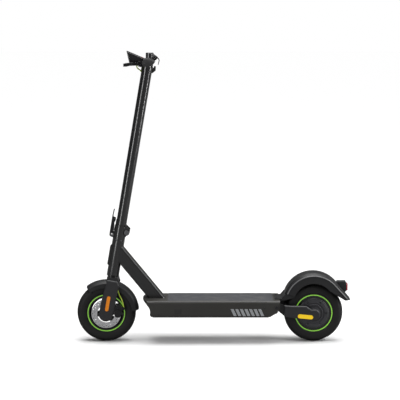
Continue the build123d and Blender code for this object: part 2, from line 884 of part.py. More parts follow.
# Stem foot: a flange on the base, a plug in the tube, two hinge ears and the latch keeper
foot_low = base_high + seat_gap
keeper_low = 396.0
keeper_high = 408.0
keeper_half = 6.0
plug_top = 430.0
with BuildPart() as stem_foot:
    with BuildSketch(column_plane(foot_low)):
        Circle(foot_radius)
    extrude(amount=stem_low - foot_low)
    with BuildSketch(column_plane(stem_low)):
        Circle(stem_radius - stem_wall - run_gap)
    extrude(amount=plug_top - stem_low)
    for side in (-1, 1):
        with BuildSketch(column_side(side * lug_half)):
            with Locations((hinge_behind, hinge_along)):
                Circle(hinge_radius)
            Polygon(
                (hinge_behind - hinge_radius + 0.2, hinge_along),
                (hinge_behind + hinge_radius - 0.2, hinge_along),
                (hinge_behind + hinge_radius - 0.2, foot_low - 8),
                (foot_radius - 2, stem_low),
                (hinge_behind - hinge_radius + 0.2, stem_low),
                align=None,
            )
        extrude(amount=-side * (ear_outer - lug_half))
    with BuildSketch(column_side(keeper_half)):
        Polygon(
            (-foot_radius + 0.5, foot_low + 1),
            (-lever_back + 2.5, keeper_low + 3),
            (-lever_back + 2.5, keeper_high),
            (-stem_radius, keeper_high),
            (-stem_radius, foot_low + 1),
            align=None,
        )
    extrude(amount=2 * keeper_half)
    with BuildSketch(column_plane(stem_low)):
        Circle(stem_radius + seat_gap)
        Circle(stem_radius - stem_wall - run_gap, mode=Mode.SUBTRACT)
    extrude(amount=plug_top - stem_low, mode=Mode.SUBTRACT)
    with BuildSketch(column_side(ear_outer)):
        with Locations((hinge_behind, hinge_along)):
            Circle(hinge_pin + run_gap)
    extrude(amount=2 * ear_outer, mode=Mode.SUBTRACT)
    with BuildSketch(column_plane(foot_low)):
        Circle(steerer_bore)
    extrude(amount=plug_top - foot_low, mode=Mode.SUBTRACT)
stem_foot.part.label = "stem_foot"
export_step(stem_foot.part, "parts/stem_foot.step")

# Stem and handlebar ------------------------------------------------------------------------------

bar_centre = column_point(bar_along, bar_behind)

# Upper brake cable: from the lever clamp, under the headlight, into the stem and down inside it
lever_pivot_x = bar_centre.X - 32.0
lever_pivot_y = -110.0
lever_height = bar_centre.Z - 10.0
clamp_inboard = -92.0
upper_route = [
    Vector(lever_pivot_x - 3, clamp_inboard, lever_height),
    Vector(lever_pivot_x - 3, -66, lever_height),
    Vector(lever_pivot_x - 22, -36, lever_height - 11),
    Vector(lever_pivot_x - 19, -10, lever_height - 23),
    column_point(1053.5, -stem_radius),
    column_point(1022),
    column_point(392),
]
upper_cable = cable_tube(upper_route, cable_radius)
upper_cable.label = "brake_cable_upper"
export_step(upper_cable, "parts/brake_cable_upper.step")
print("upper cable radii", [round(r, 1) for r in bend_radii(upper_route)])
upper_channel = cable_tube(upper_route, cable_radius + 0.8)

with BuildPart() as stem_tube:
    with BuildSketch(column_plane(stem_low + seat_gap / 3)):
        Circle(stem_radius)
        Circle(stem_radius - stem_wall, mode=Mode.SUBTRACT)
    extrude(amount=stem_high - stem_low)
    add(upper_channel, mode=Mode.SUBTRACT)
stem_tube.part.label = "stem_tube"
export_step(stem_tube.part, "parts/stem_tube.step")


def bar_side(side=0.0):
    """A side plane centred on the handlebar, facing the left."""
    return Plane(origin=bar_centre + Vector(0, side, 0), x_dir=(1, 0, 0), z_dir=(0, -1, 0))


# Bar clamp: a sleeve round the bar with a plug in the stem
clamp_plug = 12.0
with BuildPart() as handlebar_clamp:
    with BuildSketch(column_plane(stem_high + seat_gap)):
        Circle(stem_radius)
    extrude(amount=bar_along - stem_high - 8)
    with BuildSketch(column_plane(stem_high + seat_gap - clamp_plug)):
        Circle(stem_radius - stem_wall - run_gap)
    extrude(amount=clamp_plug + 1)
    with BuildSketch(bar_side(clamp_half)):
        Circle(clamp_radius)
    extrude(amount=2 * clamp_half)
    with BuildSketch(bar_side(clamp_half + 3)):
        Circle(bar_radius + run_gap)
    extrude(amount=2 * clamp_half + 6, mode=Mode.SUBTRACT)
handlebar_clamp.part.label = "handlebar_clamp"
export_step(handlebar_clamp.part, "parts/handlebar_clamp.step")

bar_half = bar_width / 2 - 2
with BuildPart() as handlebar:
    with BuildSketch(bar_side(bar_half)):
        Circle(bar_radius)
        Circle(bar_radius - bar_wall, mode=Mode.SUBTRACT)
    extrude(amount=2 * bar_half)
handlebar.part.label = "handlebar"
export_step(handlebar.part, "parts/handlebar.step")

# Grips: a six-sided section with a palm wing behind
grip_points = [(-24, 1), (-15, 17), (9, 17), (31, 1), (5, -18), (-17, -14)]
with BuildPart() as grips:
    for side in (-1, 1):
        with BuildSketch(bar_side(side * grip_inner)) as grip_section:
            Polygon(*grip_points, align=None)
            fillet(grip_section.vertices(), 5)
        extrude(amount=side * (grip_inner - bar_width / 2))
        with BuildSketch(bar_side(side * grip_inner)):
            Circle(bar_radius + run_gap)
        extrude(amount=side * (grip_inner - bar_half - seat_gap), mode=Mode.SUBTRACT)
grips.part.label = "grips"
export_step(grips.part, "parts/grips.step")

# Brake lever clamp: a ring on the bar and a slotted block for the lever
block_half = 11.0
lever_half = 6.0
pin_radius = 3.0
with BuildPart() as lever_clamp:
    with BuildSketch(bar_side(lever_pivot_y + 16)):
        Circle(bar_radius + 5)
    extrude(amount=22)
    with BuildSketch(Plane.XY.offset(lever_height - block_half)):
        with Locations((lever_pivot_x + 5, (lever_pivot_y - 10 + clamp_inboard) / 2)):
            Rectangle(30, clamp_inboard - lever_pivot_y + 10)
    extrude(amount=2 * block_half)
    with BuildSketch(Plane.XY.offset(lever_height - lever_half - seat_gap)):
        with Locations((lever_pivot_x + 9, lever_pivot_y + 9)):
            Rectangle(60, 60, align=(Align.MAX, Align.MAX))
    extrude(amount=2 * (lever_half + seat_gap), mode=Mode.SUBTRACT)
    with BuildSketch(bar_side(lever_pivot_y + 40)):
        Circle(bar_radius + run_gap)
    extrude(amount=80, mode=Mode.SUBTRACT)
    with BuildSketch(Plane.XY.offset(lever_height - block_half - 2)):
        with Locations((lever_pivot_x, lever_pivot_y)):
            Circle(pin_radius)
    extrude(amount=2 * block_half + 4)
lever_clamp.part.label = "brake_lever_clamp"
export_step(lever_clamp.part, "parts/brake_lever_clamp.step")

with BuildPart() as brake_lever:
    with BuildSketch(Plane.XY.offset(lever_height - lever_half)) as blade:
        with BuildLine():
            Polyline(
                (lever_pivot_x + 4, lever_pivot_y - 7),
                (lever_pivot_x - 34, lever_pivot_y - 22),
                (lever_pivot_x - 46, lever_pivot_y - 34),
                (lever_pivot_x - 54, lever_pivot_y - 94),
                (lever_pivot_x - 68, lever_pivot_y - 94),
                (lever_pivot_x - 59, lever_pivot_y - 28),
                (lever_pivot_x - 42, lever_pivot_y - 8),
                (lever_pivot_x - 6, lever_pivot_y + 5),
                close=True,
            )
        make_face()
        fillet(blade.vertices(), 3)
        with Locations((lever_pivot_x, lever_pivot_y)):
            Circle(8)
            Circle(pin_radius + run_gap, mode=Mode.SUBTRACT)
    extrude(amount=2 * lever_half)
brake_lever.part.label = "brake_lever"
export_step(brake_lever.part, "parts/brake_lever.step")

# Thumb throttle on the right: a ring housing and a curved paddle that turns about the bar
throttle_low = 98.0
throttle_high = 116.0
paddle_high = 131.0
with BuildPart() as throttle_housing:
    with BuildSketch(bar_side(throttle_high)):
        Circle(bar_radius + 7)
        Circle(bar_radius + run_gap, mode=Mode.SUBTRACT)
    extrude(amount=throttle_high - throttle_low)
throttle_housing.part.label = "throttle_housing"
export_step(throttle_housing.part, "parts/throttle_housing.step")

with BuildPart() as throttle_paddle:
    with BuildSketch(bar_side(paddle_high)):
        Circle(bar_radius + 4)
        with BuildLine():
            Polyline(
                (8, 9),
                (18, 13),
                (35, 3),
                (39, -6),
                (34, -25),
                (31, -24.5),
                (35.5, -6),
                (32.5, 0.5),
                (18, 9),
                (12, 3),
            )
            Line((12, 3), (8, 9))
        make_face()
        Circle(bar_radius + run_gap, mode=Mode.SUBTRACT)
    extrude(amount=paddle_high - throttle_high - seat_gap)
throttle_paddle.part.label = "throttle_paddle"
export_step(throttle_paddle.part, "parts/throttle_paddle.step")

# Bell on the left: ring, base, post and cup, with a thumb striker behind
bell_side = -72.0
bell_x = bar_centre.X + 3.5
bell_radius = 16.5
bell_wall = 1.5
bell_low = bar_centre.Z + bar_radius + 4
bell_high = bell_low + 20.0
striker_x = bell_x + 19.5
striker_y = bell_side - 12.0
with BuildPart() as bell_body:
    with BuildSketch(bar_side(bell_side + 7)):
        Circle(bar_radius + 3)
    extrude(amount=14)
    with BuildSketch(Plane.XY.offset(bar_centre.Z + bar_radius)):
        with Locations((bell_x, bell_side)):
            Circle(bell_radius - 2)
        with Locations((striker_x, striker_y)):
            Circle(3)
        make_hull()
    extrude(amount=2.5)
    with BuildSketch(Plane.XY.offset(bar_centre.Z + bar_radius)):
        with Locations((bell_x, bell_side)):
            Circle(4)
    extrude(amount=bell_high - bar_centre.Z - bar_radius)
    with BuildSketch(Plane.XY.offset(bell_low)):
        with Locations((bell_x, bell_side)):
            Circle(bell_radius)
            Circle(bell_radius - bell_wall, mode=Mode.SUBTRACT)
    extrude(amount=bell_high - bell_low)
    with BuildSketch(Plane.XY.offset(bell_high - 2)):
        with Locations((bell_x, bell_side)):
            Circle(bell_radius)
    extrude(amount=2)
    chamfer(bell_body.edges().filter_by(GeomType.CIRCLE).group_by(Axis.Z)[-1], 1.2)
    with BuildSketch(Plane.XY.offset(bar_centre.Z + bar_radius)):
        with Locations((striker_x, striker_y)):
            Circle(1.5)
    extrude(amount=7)
    with BuildSketch(bar_side(bell_side + 8)):
        Circle(bar_radius + run_gap)
    extrude(amount=16, mode=Mode.SUBTRACT)
bell_body.part.label = "bell_body"
export_step(bell_body.part, "parts/bell_body.step")

with BuildPart() as bell_striker:
    with BuildSketch(Plane.XY.offset(bar_centre.Z + bar_radius + 2.5 + seat_gap)):
        with Locations((striker_x, striker_y)):
            Circle(3)
        with Locations((striker_x + 5, striker_y - 13)):
            Circle(2.2)
        make_hull()
        with Locations((striker_x, striker_y)):
            Circle(1.5 + run_gap, mode=Mode.SUBTRACT)
    extrude(amount=3)
bell_striker.part.label = "bell_striker"
export_step(bell_striker.part, "parts/bell_striker.step")

# Headlight and display housing: a wedge in front of the bar
head_half = 28.0
head_brow = (-95.5, 39.5)
head_chin = (-85.0, -8.0)
head_throat = (-74.0, -16.0)
head_seat = (-13.0, -19.0)
head_back = (-13.0, 4.6)
top_slope = atan2(head_brow[1] - head_back[1], head_back[0] - head_brow[0])
brow = bar_centre + Vector(head_brow[0], 0, head_brow[1])
top_along = Vector(cos(top_slope), 0, -sin(top_slope))
top_out = Vector(sin(top_slope), 0, cos(top_slope))
lens_slope = atan2(head_chin[0] - head_brow[0], head_brow[1] - head_chin[1])
lens_out = Vector(-cos(lens_slope), 0, -sin(lens_slope))
lens_centre = bar_centre + Vector((head_brow[0] + head_chin[0]) / 2, 0, (head_brow[1] + head_chin[1]) / 2 - 4)
lens_radius = 15.0
lens_depth = 4.0
panel_length = 54.0
panel_width = 48.0
panel_wall = 2.0
panel_from_brow = 35.0
button_from_brow = 71.0
button_radius = 5.5
button_seat = 4.6
button_height = 4.5


def top_plane(from_brow, rise=0.0):
    """A plane on the sloping top of the housing."""
    return Plane(origin=brow + top_along * from_brow + top_out * rise, x_dir=top_along, z_dir=top_out)


with BuildPart() as headlight_housing:
    with BuildSketch(bar_side(head_half)) as wedge:
        Polygon(head_brow, head_back, head_seat, head_throat, head_chin, align=None)
    extrude(amount=2 * head_half)
    side_faces = headlight_housing.faces().filter_by(Axis.Y)
    fillet(side_faces.edges(), 4)
    with BuildSketch(bar_side(head_half + 1)):
        Circle(clamp_radius + seat_gap)
    extrude(amount=2 * head_half + 2, mode=Mode.SUBTRACT)
    with BuildSketch(column_plane(stem_high)):
        Circle(stem_radius + seat_gap)
    extrude(amount=bar_along - stem_high, mode=Mode.SUBTRACT)
    with BuildSketch(Plane(origin=lens_centre, z_dir=lens_out)):
        Circle(lens_radius + seat_gap)
    extrude(amount=-lens_depth, mode=Mode.SUBTRACT)
    with BuildSketch(top_plane(panel_from_brow)):
        RectangleRounded(panel_length + 2 * seat_gap, panel_width + 2 * seat_gap, 4)
    extrude(amount=-panel_wall, mode=Mode.SUBTRACT)
    with BuildSketch(top_plane(button_from_brow)):
        Circle(button_radius + seat_gap)
    extrude(amount=-button_seat, mode=Mode.SUBTRACT)
headlight_housing.part.label = "headlight_housing"
export_step(headlight_housing.part, "parts/headlight_housing.step")

with BuildPart() as headlight_lens:
    with BuildSketch(Plane(origin=lens_centre - lens_out * lens_depth, z_dir=lens_out)):
        Circle(lens_radius)
    extrude(amount=lens_depth)
    fillet(headlight_lens.edges().group_by(Axis(lens_centre, lens_out))[-1], 1.5)
headlight_lens.part.label = "headlight_lens"
export_step(headlight_lens.part, "parts/headlight_lens.step")

with BuildPart() as display_panel:
    with BuildSketch(top_plane(panel_from_brow, -panel_wall)):
        RectangleRounded(panel_length, panel_width, 4)
    extrude(amount=panel_wall)
display_panel.part.label = "display_panel"
export_step(display_panel.part, "parts/display_panel.step")

with BuildPart() as power_button:
    with BuildSketch(top_plane(button_from_brow, 1.5 - button_height)):
        Circle(button_radius)
    extrude(amount=button_height)
    fillet(power_button.edges().group_by(Axis(brow, top_out))[-1], 0.8)
power_button.part.label = "power_button"
export_step(power_button.part, "parts/power_button.step")

# Fold hook: a band round the stem with a hook behind
band_low = 1056.0
band_high = 1076.0
hook_half = 9.0
with BuildPart() as fold_hook:
    with BuildSketch(column_plane(band_low)):
        Circle(stem_radius + 3)
    extrude(amount=band_high - band_low)
    with BuildSketch(column_side(hook_half)):
        Polygon(
            (0, band_low + 2),
            (26, band_low - 4),
            (37, band_low + 9),
            (35, band_low + 26),
            (28, band_low + 27),
            (27, band_low + 18), (0, band_low + 18), align=None
        )
    extrude(amount=2 * hook_half)
    with BuildSketch(column_plane(band_low - 10)):
        Circle(stem_radius + run_gap)
    extrude(amount=band_high - band_low + 40, mode=Mode.SUBTRACT)
    with BuildSketch(column_side(7)):
        Polygon((0, band_low - 1), (-40, band_low - 1), (-40, band_high + 1), (0, band_high + 1), align=None)
    extrude(amount=14, mode=Mode.SUBTRACT)
fold_hook.part.label = "fold_hook"
export_step(fold_hook.part, "parts/fold_hook.step")

# Deck --------------------------------------------------------------------------------------------

deck_half = deck_width / 2
cavity_front = deck_front + 45
cavity_width = deck_width - 2 * deck_wall
deck_height = deck_top - deck_low
port_x = -152.0
port_z = 148.5
port_length = 26.0
port_height = 19.0
screw_places = [(217.7, 161), (-235.5, 135.6)]
side_screw_radius = 3.2
side_screw_height = 1.0
foot_screw_places = [(272, -30), (272, 30)]
with BuildPart() as deck_frame:
    front_plane = Plane(origin=(deck_front, 0, deck_low), x_dir=(0, 1, 0), z_dir=(1, 0, 0))
    with BuildSketch(front_plane) as deck_section:
        Rectangle(deck_width, deck_height, align=(Align.CENTER, Align.MIN))
        fillet(deck_section.vertices().group_by(Axis.Z)[-1], deck_round)
        fillet(deck_section.vertices().group_by(Axis.Z)[0], deck_round / 2)
    extrude(amount=deck_rear - deck_front)
    with BuildSketch(side_plane()):
        with BuildLine():
            Line((deck_front, deck_top + 1), (deck_front, deck_top - 7))
            ThreePointArc(
                (deck_front, deck_top - 7),
                (deck_front + 27, deck_top - 27),
                (deck_front + 32, deck_low + 12),
            )
            Polyline(
                (deck_front + 32, deck_low + 12),
                (deck_front + 40, deck_low - 1),
                (deck_rear - 45, deck_low - 1),
                (deck_rear - 26, deck_low + 13),
                (deck_rear - 12, deck_low + 19),
                (deck_rear - 2, deck_low + 38),
                (deck_rear, deck_top - 7),
                (deck_rear, deck_top + 1),
                (deck_front, deck_top + 1),
            )
        make_face()
    extrude(amount=deck_width, both=True, mode=Mode.INTERSECT)
    with BuildSketch(Plane.XY.offset(deck_low - 1)):
        with BuildLine():
            ThreePointArc(
                (deck_front + 22, -deck_half - 1),
                (deck_front, 0),
                (deck_front + 22, deck_half + 1),
            )
            Polyline(
                (deck_front + 22, deck_half + 1),
                (deck_rear + 1, deck_half + 1),
                (deck_rear + 1, -deck_half - 1),
                (deck_front + 22, -deck_half - 1),
            )
        make_face()
    extrude(amount=deck_height + 2, mode=Mode.INTERSECT)
    with BuildSketch(Plane.XY.offset(deck_low - 1)):
        with Locations((cavity_front, 0)):
            Rectangle(bulkhead_x - cavity_front, cavity_width, align=(Align.MIN, Align.CENTER))
    extrude(amount=deck_height - deck_wall + 1 - seat_gap, mode=Mode.SUBTRACT)
    with BuildSketch(Plane.XY.offset(deck_low - 1)):
        with Locations((bulkhead_x + bulkhead_wall, 0)):
            Rectangle(100, 2 * ear_half, align=(Align.MIN, Align.CENTER))
    extrude(amount=ear_ceiling - deck_low + 1, mode=Mode.SUBTRACT)
    with BuildSketch(side_plane(deck_half + 1)):
        with Locations((pivot_x, pivot_z)):
            Circle(pivot_radius + run_gap)
    extrude(amount=deck_width + 2, mode=Mode.SUBTRACT)
    with BuildSketch(side_plane(-deck_half + deck_wall + 1)):
        with Locations((port_x, port_z)):
            RectangleRounded(port_length + 2 * seat_gap, port_height + 2 * seat_gap, 4)
    extrude(amount=deck_wall + 2, mode=Mode.SUBTRACT)
deck_frame.part.label = "deck_frame"
export_step(deck_frame.part, "parts/deck_frame.step")

# Bottom cover with the kickstand bracket cast on its right side
stand_x = -60.0
stand_y = 60.0
stand_z = 110.0
stand_lean = 15.0
stand_axis = Vector(0, cos(radians(stand_lean)), sin(radians(stand_lean)))
stand_down = Vector(0, sin(radians(stand_lean)), -cos(radians(stand_lean)))
stand_half = 5.0
cheek_wall = 4.0
stand_pin = 4.0


def stand_plane(along_axis=0.0):
    """The kickstand's swing plane: x along the folded leg, z along its pivot pin."""
    origin = Vector(stand_x, stand_y, stand_z) + stand_axis * along_axis
    return Plane(origin=origin, x_dir=(1, 0, 0), z_dir=stand_axis)


cover_front = cavity_front + seat_gap
cover_rear = bulkhead_x - seat_gap
with BuildPart() as bottom_cover:
    with BuildSketch(Plane.XY.offset(deck_low)):
        with Locations((cover_front, 0)):
            Rectangle(cover_rear - cover_front, cavity_width - 2 * seat_gap, align=(Align.MIN, Align.CENTER))
    extrude(amount=cover_low_wall)
    for low in (-stand_half - seat_gap - cheek_wall, stand_half + seat_gap):
        with BuildSketch(stand_plane(low)):
            Polygon((-16, -12), (16, -12), (9, 6), (4, 9), (-4, 9), (-9, 6), align=None)
        extrude(amount=cheek_wall)
    with BuildSketch(Plane.XY.offset(deck_low + cover_low_wall)):
        with Locations((stand_x, stand_y)):
            Rectangle(60, 60)
    extrude(amount=30, mode=Mode.SUBTRACT)
    with BuildSketch(stand_plane(-stand_half - cheek_wall - 2)):
        Circle(stand_pin)
    extrude(amount=2 * (stand_half + cheek_wall + 2))
bottom_cover.part.label = "deck_bottom_cover"
export_step(bottom_cover.part, "parts/deck_bottom_cover.step")

# Kickstand leg, folded along the underside
stand_length = 104.0
with BuildPart() as kickstand_leg:
    with BuildSketch(stand_plane(-stand_half)) as leg_shape:
        Polygon(
            (0, -5.5),
            (stand_length - 20, -4),
            (stand_length, -7),
            (stand_length + 3, 5),
            (0, 6),
            align=None,
        )
        Circle(7)
        Circle(stand_pin + run_gap, mode=Mode.SUBTRACT)
    extrude(amount=2 * stand_half)
kickstand_leg.part.label = "kickstand_leg"
export_step(kickstand_leg.part, "parts/kickstand_leg.step")

with BuildPart() as deck_mat:
    with BuildSketch(Plane.XY.offset(deck_top)):
        with Locations(((mat_front + mat_rear) / 2, 0)):
            RectangleRounded(mat_rear - mat_front, deck_width - 2 * deck_round, 10)
    extrude(amount=mat_wall)
deck_mat.part.label = "deck_mat"
export_step(deck_mat.part, "parts/deck_mat.step")

# Slanted reflective bars on both sides of the deck
stripe_count = 7
stripe_first = 73.0
stripe_pitch = 19.6
stripe_length = 12.5
stripe_slant = 13.5
stripe_low = 128.0
stripe_high = 158.0
stripe_wall = 0.5
with BuildPart() as side_stripes:
    for side in (-1, 1):
        with BuildSketch(side_plane(side * deck_half)):
            for index in range(stripe_count):
                left = stripe_first + index * stripe_pitch
                Polygon(
                    (left, stripe_high),
                    (left + stripe_length, stripe_high),
                    (left + stripe_length + stripe_slant, stripe_low),
                    (left + stripe_slant, stripe_low),
                    align=None,
                )
        extrude(amount=-side * stripe_wall)
side_stripes.part.label = "side_stripes"
export_step(side_stripes.part, "parts/side_stripes.step")

# Charge port in the left wall, with a flap hinged at its top
port_bore = 5.5
port_depth = 14.0
with BuildPart() as charge_port:
    with BuildSketch(side_plane(-deck_half + port_depth + 4)):
        with Locations((port_x, port_z)):
            RectangleRounded(port_length, port_height, 4)
    extrude(amount=port_depth + 4)
    with BuildSketch(side_plane(-deck_half + port_depth)):
        with Locations((port_x, port_z)):
            Circle(port_bore)
    extrude(amount=port_depth, mode=Mode.SUBTRACT)
charge_port.part.label = "charge_port"
export_step(charge_port.part, "parts/charge_port.step")

cap_wall = 2.0
cap_hinge_z = port_z + port_height / 2 + 1
cap_hinge_y = -deck_half - seat_gap - cap_wall / 2
with BuildPart() as charge_cap:
    with BuildSketch(side_plane(-deck_half - seat_gap)):
        with Locations((port_x, cap_hinge_z)):
            Rectangle(port_length + 4, port_height + 3, align=(Align.CENTER, Align.MAX))
    extrude(amount=cap_wall)
    fillet(charge_cap.edges().filter_by(Axis.X).group_by(Axis.Z)[-1], cap_wall / 2 - 0.05)
    fillet(charge_cap.edges().filter_by(Axis.Y).group_by(Axis.Z)[0], 4)
charge_cap.part.label = "charge_cap"
export_step(charge_cap.part, "parts/charge_cap.step")

with BuildPart() as deck_screws:
    for side in (-1, 1):
        with BuildSketch(side_plane(side * deck_half)):
            with Locations(*screw_places):
                Circle(side_screw_radius)
        extrude(amount=-side * side_screw_height)
    with BuildSketch(Plane.XY.offset(deck_top + seat_gap + fender_wall)):
        with Locations(*foot_screw_places):
            Circle(4)
    extrude(amount=1.5)
deck_screws.part.label = "deck_screws"
export_step(deck_screws.part, "parts/deck_screws.step")

# Battery pack and controller on the bottom cover
inside_floor = deck_low + cover_low_wall + seat_gap
with BuildPart() as electronics:
    with BuildSketch(Plane.XY.offset(inside_floor)):
        with Locations((-40, 0)):
            RectangleRounded(310, 132, 6)
    extrude(amount=56)
    with BuildSketch(Plane.XY.offset(inside_floor)):
        with Locations((180, 0)):
            RectangleRounded(90, 96, 4)
    extrude(amount=36)
electronics.part.label = "battery_and_controller"
export_step(electronics.part, "parts/battery_and_controller.step")

# Rear end ----------------------------------------------------------------------------------------

with BuildPart() as pivot_bolt:
    with BuildSketch(side_plane(deck_half)):
        with Locations((pivot_x, pivot_z)):
            Circle(pivot_radius)
    extrude(amount=deck_width)
    for side in (-1, 1):
        with BuildSketch(side_plane(side * deck_half)):
            with Locations((pivot_x, pivot_z)):
                Circle(pivot_radius + 2)
        extrude(amount=-side * 2)
        with BuildSketch(side_plane(side * (deck_half + 2))):
            with Locations((pivot_x, pivot_z)):
                RegularPolygon(3, 6)
        extrude(amount=side * 1.5, mode=Mode.SUBTRACT)
pivot_bolt.part.label = "swingarm_pivot_bolt"
export_step(pivot_bolt.part, "parts/swingarm_pivot_bolt.step")

# Swing arm: a cross tube on the pivot bolt and two arms to the axle
arm_low_front = 122.0
with BuildPart() as swingarm_yoke:
    with BuildSketch(side_plane(ear_half - 0.4)):
        with Locations((pivot_x, pivot_z)):
            Circle(yoke_radius)
    extrude(amount=2 * (ear_half - 0.4))
    for side in (-1, 1):
        with BuildSketch(side_plane(side * arm_inner)):
            Polygon(
                (pivot_x, pivot_z + yoke_radius),
                (304, 168),
                (400, 160),
                (rear_axle_x - 8, axle_height + 21),
                (rear_axle_x + 18, axle_height),
                (rear_axle_x - 4, axle_height - 21),
                (303, arm_low_front),
                (pivot_x, pivot_z - yoke_radius),
                align=None,
            )
            with Locations((rear_axle_x, axle_height)):
                Circle(20)
                Circle(axle_radius + seat_gap, mode=Mode.SUBTRACT)
        extrude(amount=-side * arm_wall)
    with BuildSketch(side_plane(ear_half + 1)):
        with Locations((pivot_x, pivot_z)):
            Circle(pivot_radius + run_gap)
    extrude(amount=2 * ear_half + 2, mode=Mode.SUBTRACT)
swingarm_yoke.part.label = "swingarm_yoke"
export_step(swingarm_yoke.part, "parts/swingarm_yoke.step")

# Arm covers: bevelled plates outside the arms, with a pocket for the axle nut
cover_end = 24.0
arm_bevel = 3.0
with BuildPart() as arm_covers:
    for side in (-1, 1):
        with BuildSketch(side_plane(side * arm_cover_inner)):
            Polygon(
                (304, 170),
                (330, 167.5),
                (398, 166),
                (rear_axle_x - 10, axle_height + 21.8),
                (rear_axle_x + 18, axle_height),
                (rear_axle_x - 4, axle_height - 23.7),
                (304, 119),
                align=None,
            )
            with Locations((rear_axle_x, axle_height)):
                Circle(cover_end)
        extrude(amount=-side * arm_cover_wall)
    outer_faces = arm_covers.faces().filter_by(Axis.Y).group_by(Axis.Y)
    chamfer(outer_faces[0].edges() + outer_faces[-1].edges(), arm_bevel)
    for side in (-1, 1):
        with BuildSketch(wheel_side(rear_centre, side * arm_cover_inner)):
            Circle(pocket_radius)
        extrude(amount=-side * (pocket_depth + 1), mode=Mode.SUBTRACT)
arm_covers.part.label = "arm_covers"
export_step(arm_covers.part, "parts/arm_covers.step")

rear_pill_x = 394.7
rear_pill_z = 120.3
rear_pill_tilt = -5.2
rear_pill_width = 17.5
with BuildPart() as rear_reflectors:
    for side in (-1, 1):
        with BuildSketch(side_plane(side * arm_cover_outer)):
            with Locations((rear_pill_x, rear_pill_z)):
                SlotOverall(pill_length, rear_pill_width, rotation=rear_pill_tilt)
        extrude(amount=-side * pill_depth)
rear_reflectors.part.label = "rear_reflectors"
export_step(rear_reflectors.part, "parts/rear_reflectors.step")

# Rear fender: a two-tier hood, an arc with a straight tail, on a foot bolted to the deck
tail_turn = radians(fender_tail_angle)
tail_rise = fender_height + fender_radius * sin(tail_turn)
tail_reach = fender_radius * cos(tail_turn) + (tail_rise - fender_tip_height) * tan(tail_turn)
fender_x = overall_length / 2 - tail_reach
fender_centre = Vector(fender_x, 0, fender_height)
fender_half = 52.0
ridge_half = 48.0
ridge_radius = 118.0
crown_half = 34.0
skirt_radius = 88.0
tail_length = 110.0
foot_front = 264.0
foot_floor = deck_top + seat_gap
tail_out = Vector(cos(tail_turn), 0, sin(tail_turn))
tail_along = Vector(sin(tail_turn), 0, -cos(tail_turn))
tail_start = fender_centre + tail_out * fender_radius


def rear_section():
    outside, inside = fender_section(
        fender_radius, crown_half, ridge_half, fender_half, ridge_radius, skirt_radius, fender_wall
    )
    return fender_loop(outside, inside)


def on_fender(radius, angle):
    """A side-view point on a circle about the fender's centre."""
    return (fender_x + radius * cos(radians(angle)), fender_height + radius * sin(radians(angle)))


with BuildPart() as rear_fender:
    with BuildSketch(wheel_section(fender_centre, fender_front_angle)):
        Polygon(*rear_section(), align=None)
    revolve(axis=wheel_axis(fender_centre), revolution_arc=fender_front_angle - fender_tail_angle)
    with BuildSketch(wheel_section(fender_centre, fender_tail_angle)):
        Polygon(*rear_section(), align=None)
    extrude(amount=tail_length)
    split(bisect_by=Plane.XY.offset(fender_tip_height), keep=Keep.TOP)
    with BuildSketch(side_plane(fender_half + 1)):
        skirt_end = on_fender(skirt_radius - 1, fender_tail_angle)
        Polygon(skirt_end, (566, fender_tip_height), (566, 150), (skirt_end[0] - 40, 150), align=None)
    extrude(amount=2 * fender_half + 2, mode=Mode.SUBTRACT)
    with BuildSketch(side_plane(ridge_half)):
        front_outer = on_fender(fender_radius, fender_front_angle - 1)
        front_inner = on_fender(fender_radius - fender_wall, fender_front_angle - 1)
        Polygon(
            (foot_front, foot_floor),
            (foot_front, foot_floor + fender_wall),
            (295, foot_floor + fender_wall),
            front_outer,
            front_inner,
            (299, foot_floor),
            align=None,
        )
    extrude(amount=2 * ridge_half)
    for side in (-1, 1):
        with BuildSketch(side_plane(side * (ridge_half - 1.5))):
            Polygon(
                (deck_rear + 3, deck_top - 8),
                on_fender(skirt_radius, fender_front_angle),
                on_fender(ridge_radius, fender_front_angle - 1),
                front_outer,
                (293, foot_floor + fender_wall),
                (deck_rear + 3, foot_floor),
                align=None,
            )
        extrude(amount=-side * fender_wall)
rear_fender.part.label = "rear_fender"
export_step(rear_fender.part, "parts/rear_fender.step")

# Tail light: a block on the fender's tail with a red lens behind
light_half = 17.0
light_back = 574.0
light_high = 263.5
lens_low = 223.0
lens_high = 254.0
seat_out = tail_out * seat_gap
light_top = tail_start + tail_along * 2 + seat_out
light_foot = tail_start + tail_along * 52 + seat_out
with BuildPart() as tail_light:
    with BuildSketch(side_plane(light_half)) as light_section:
        Polygon(
            (light_top.X, light_top.Z),
            (light_top.X + 1, light_high),
            (light_back - 3, light_high),
            (light_back, light_high - 6),
            (light_back, lens_low - 2),
            (light_foot.X + 2, light_foot.Z + 0.5),
            (light_foot.X, light_foot.Z),
            align=None,
        )
    extrude(amount=2 * light_half)
    fillet(tail_light.faces().filter_by(Axis.Y).edges().filter_by(Axis.X), 2)
tail_light.part.label = "tail_light_housing"
export_step(tail_light.part, "parts/tail_light_housing.step")

with BuildPart() as tail_lens:
    lens_middle = (light_back, 0, (lens_low + lens_high) / 2)
    with BuildSketch(Plane(origin=lens_middle, x_dir=(0, 1, 0), z_dir=(1, 0, 0))):
        RectangleRounded(2 * light_half - 5, lens_high - lens_low, 4)
    extrude(amount=6)
    fillet(tail_lens.faces().sort_by(Axis.X)[-1].edges(), 2)
tail_lens.part.label = "tail_light_lens"
export_step(tail_lens.part, "parts/tail_light_lens.step")
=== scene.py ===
import math

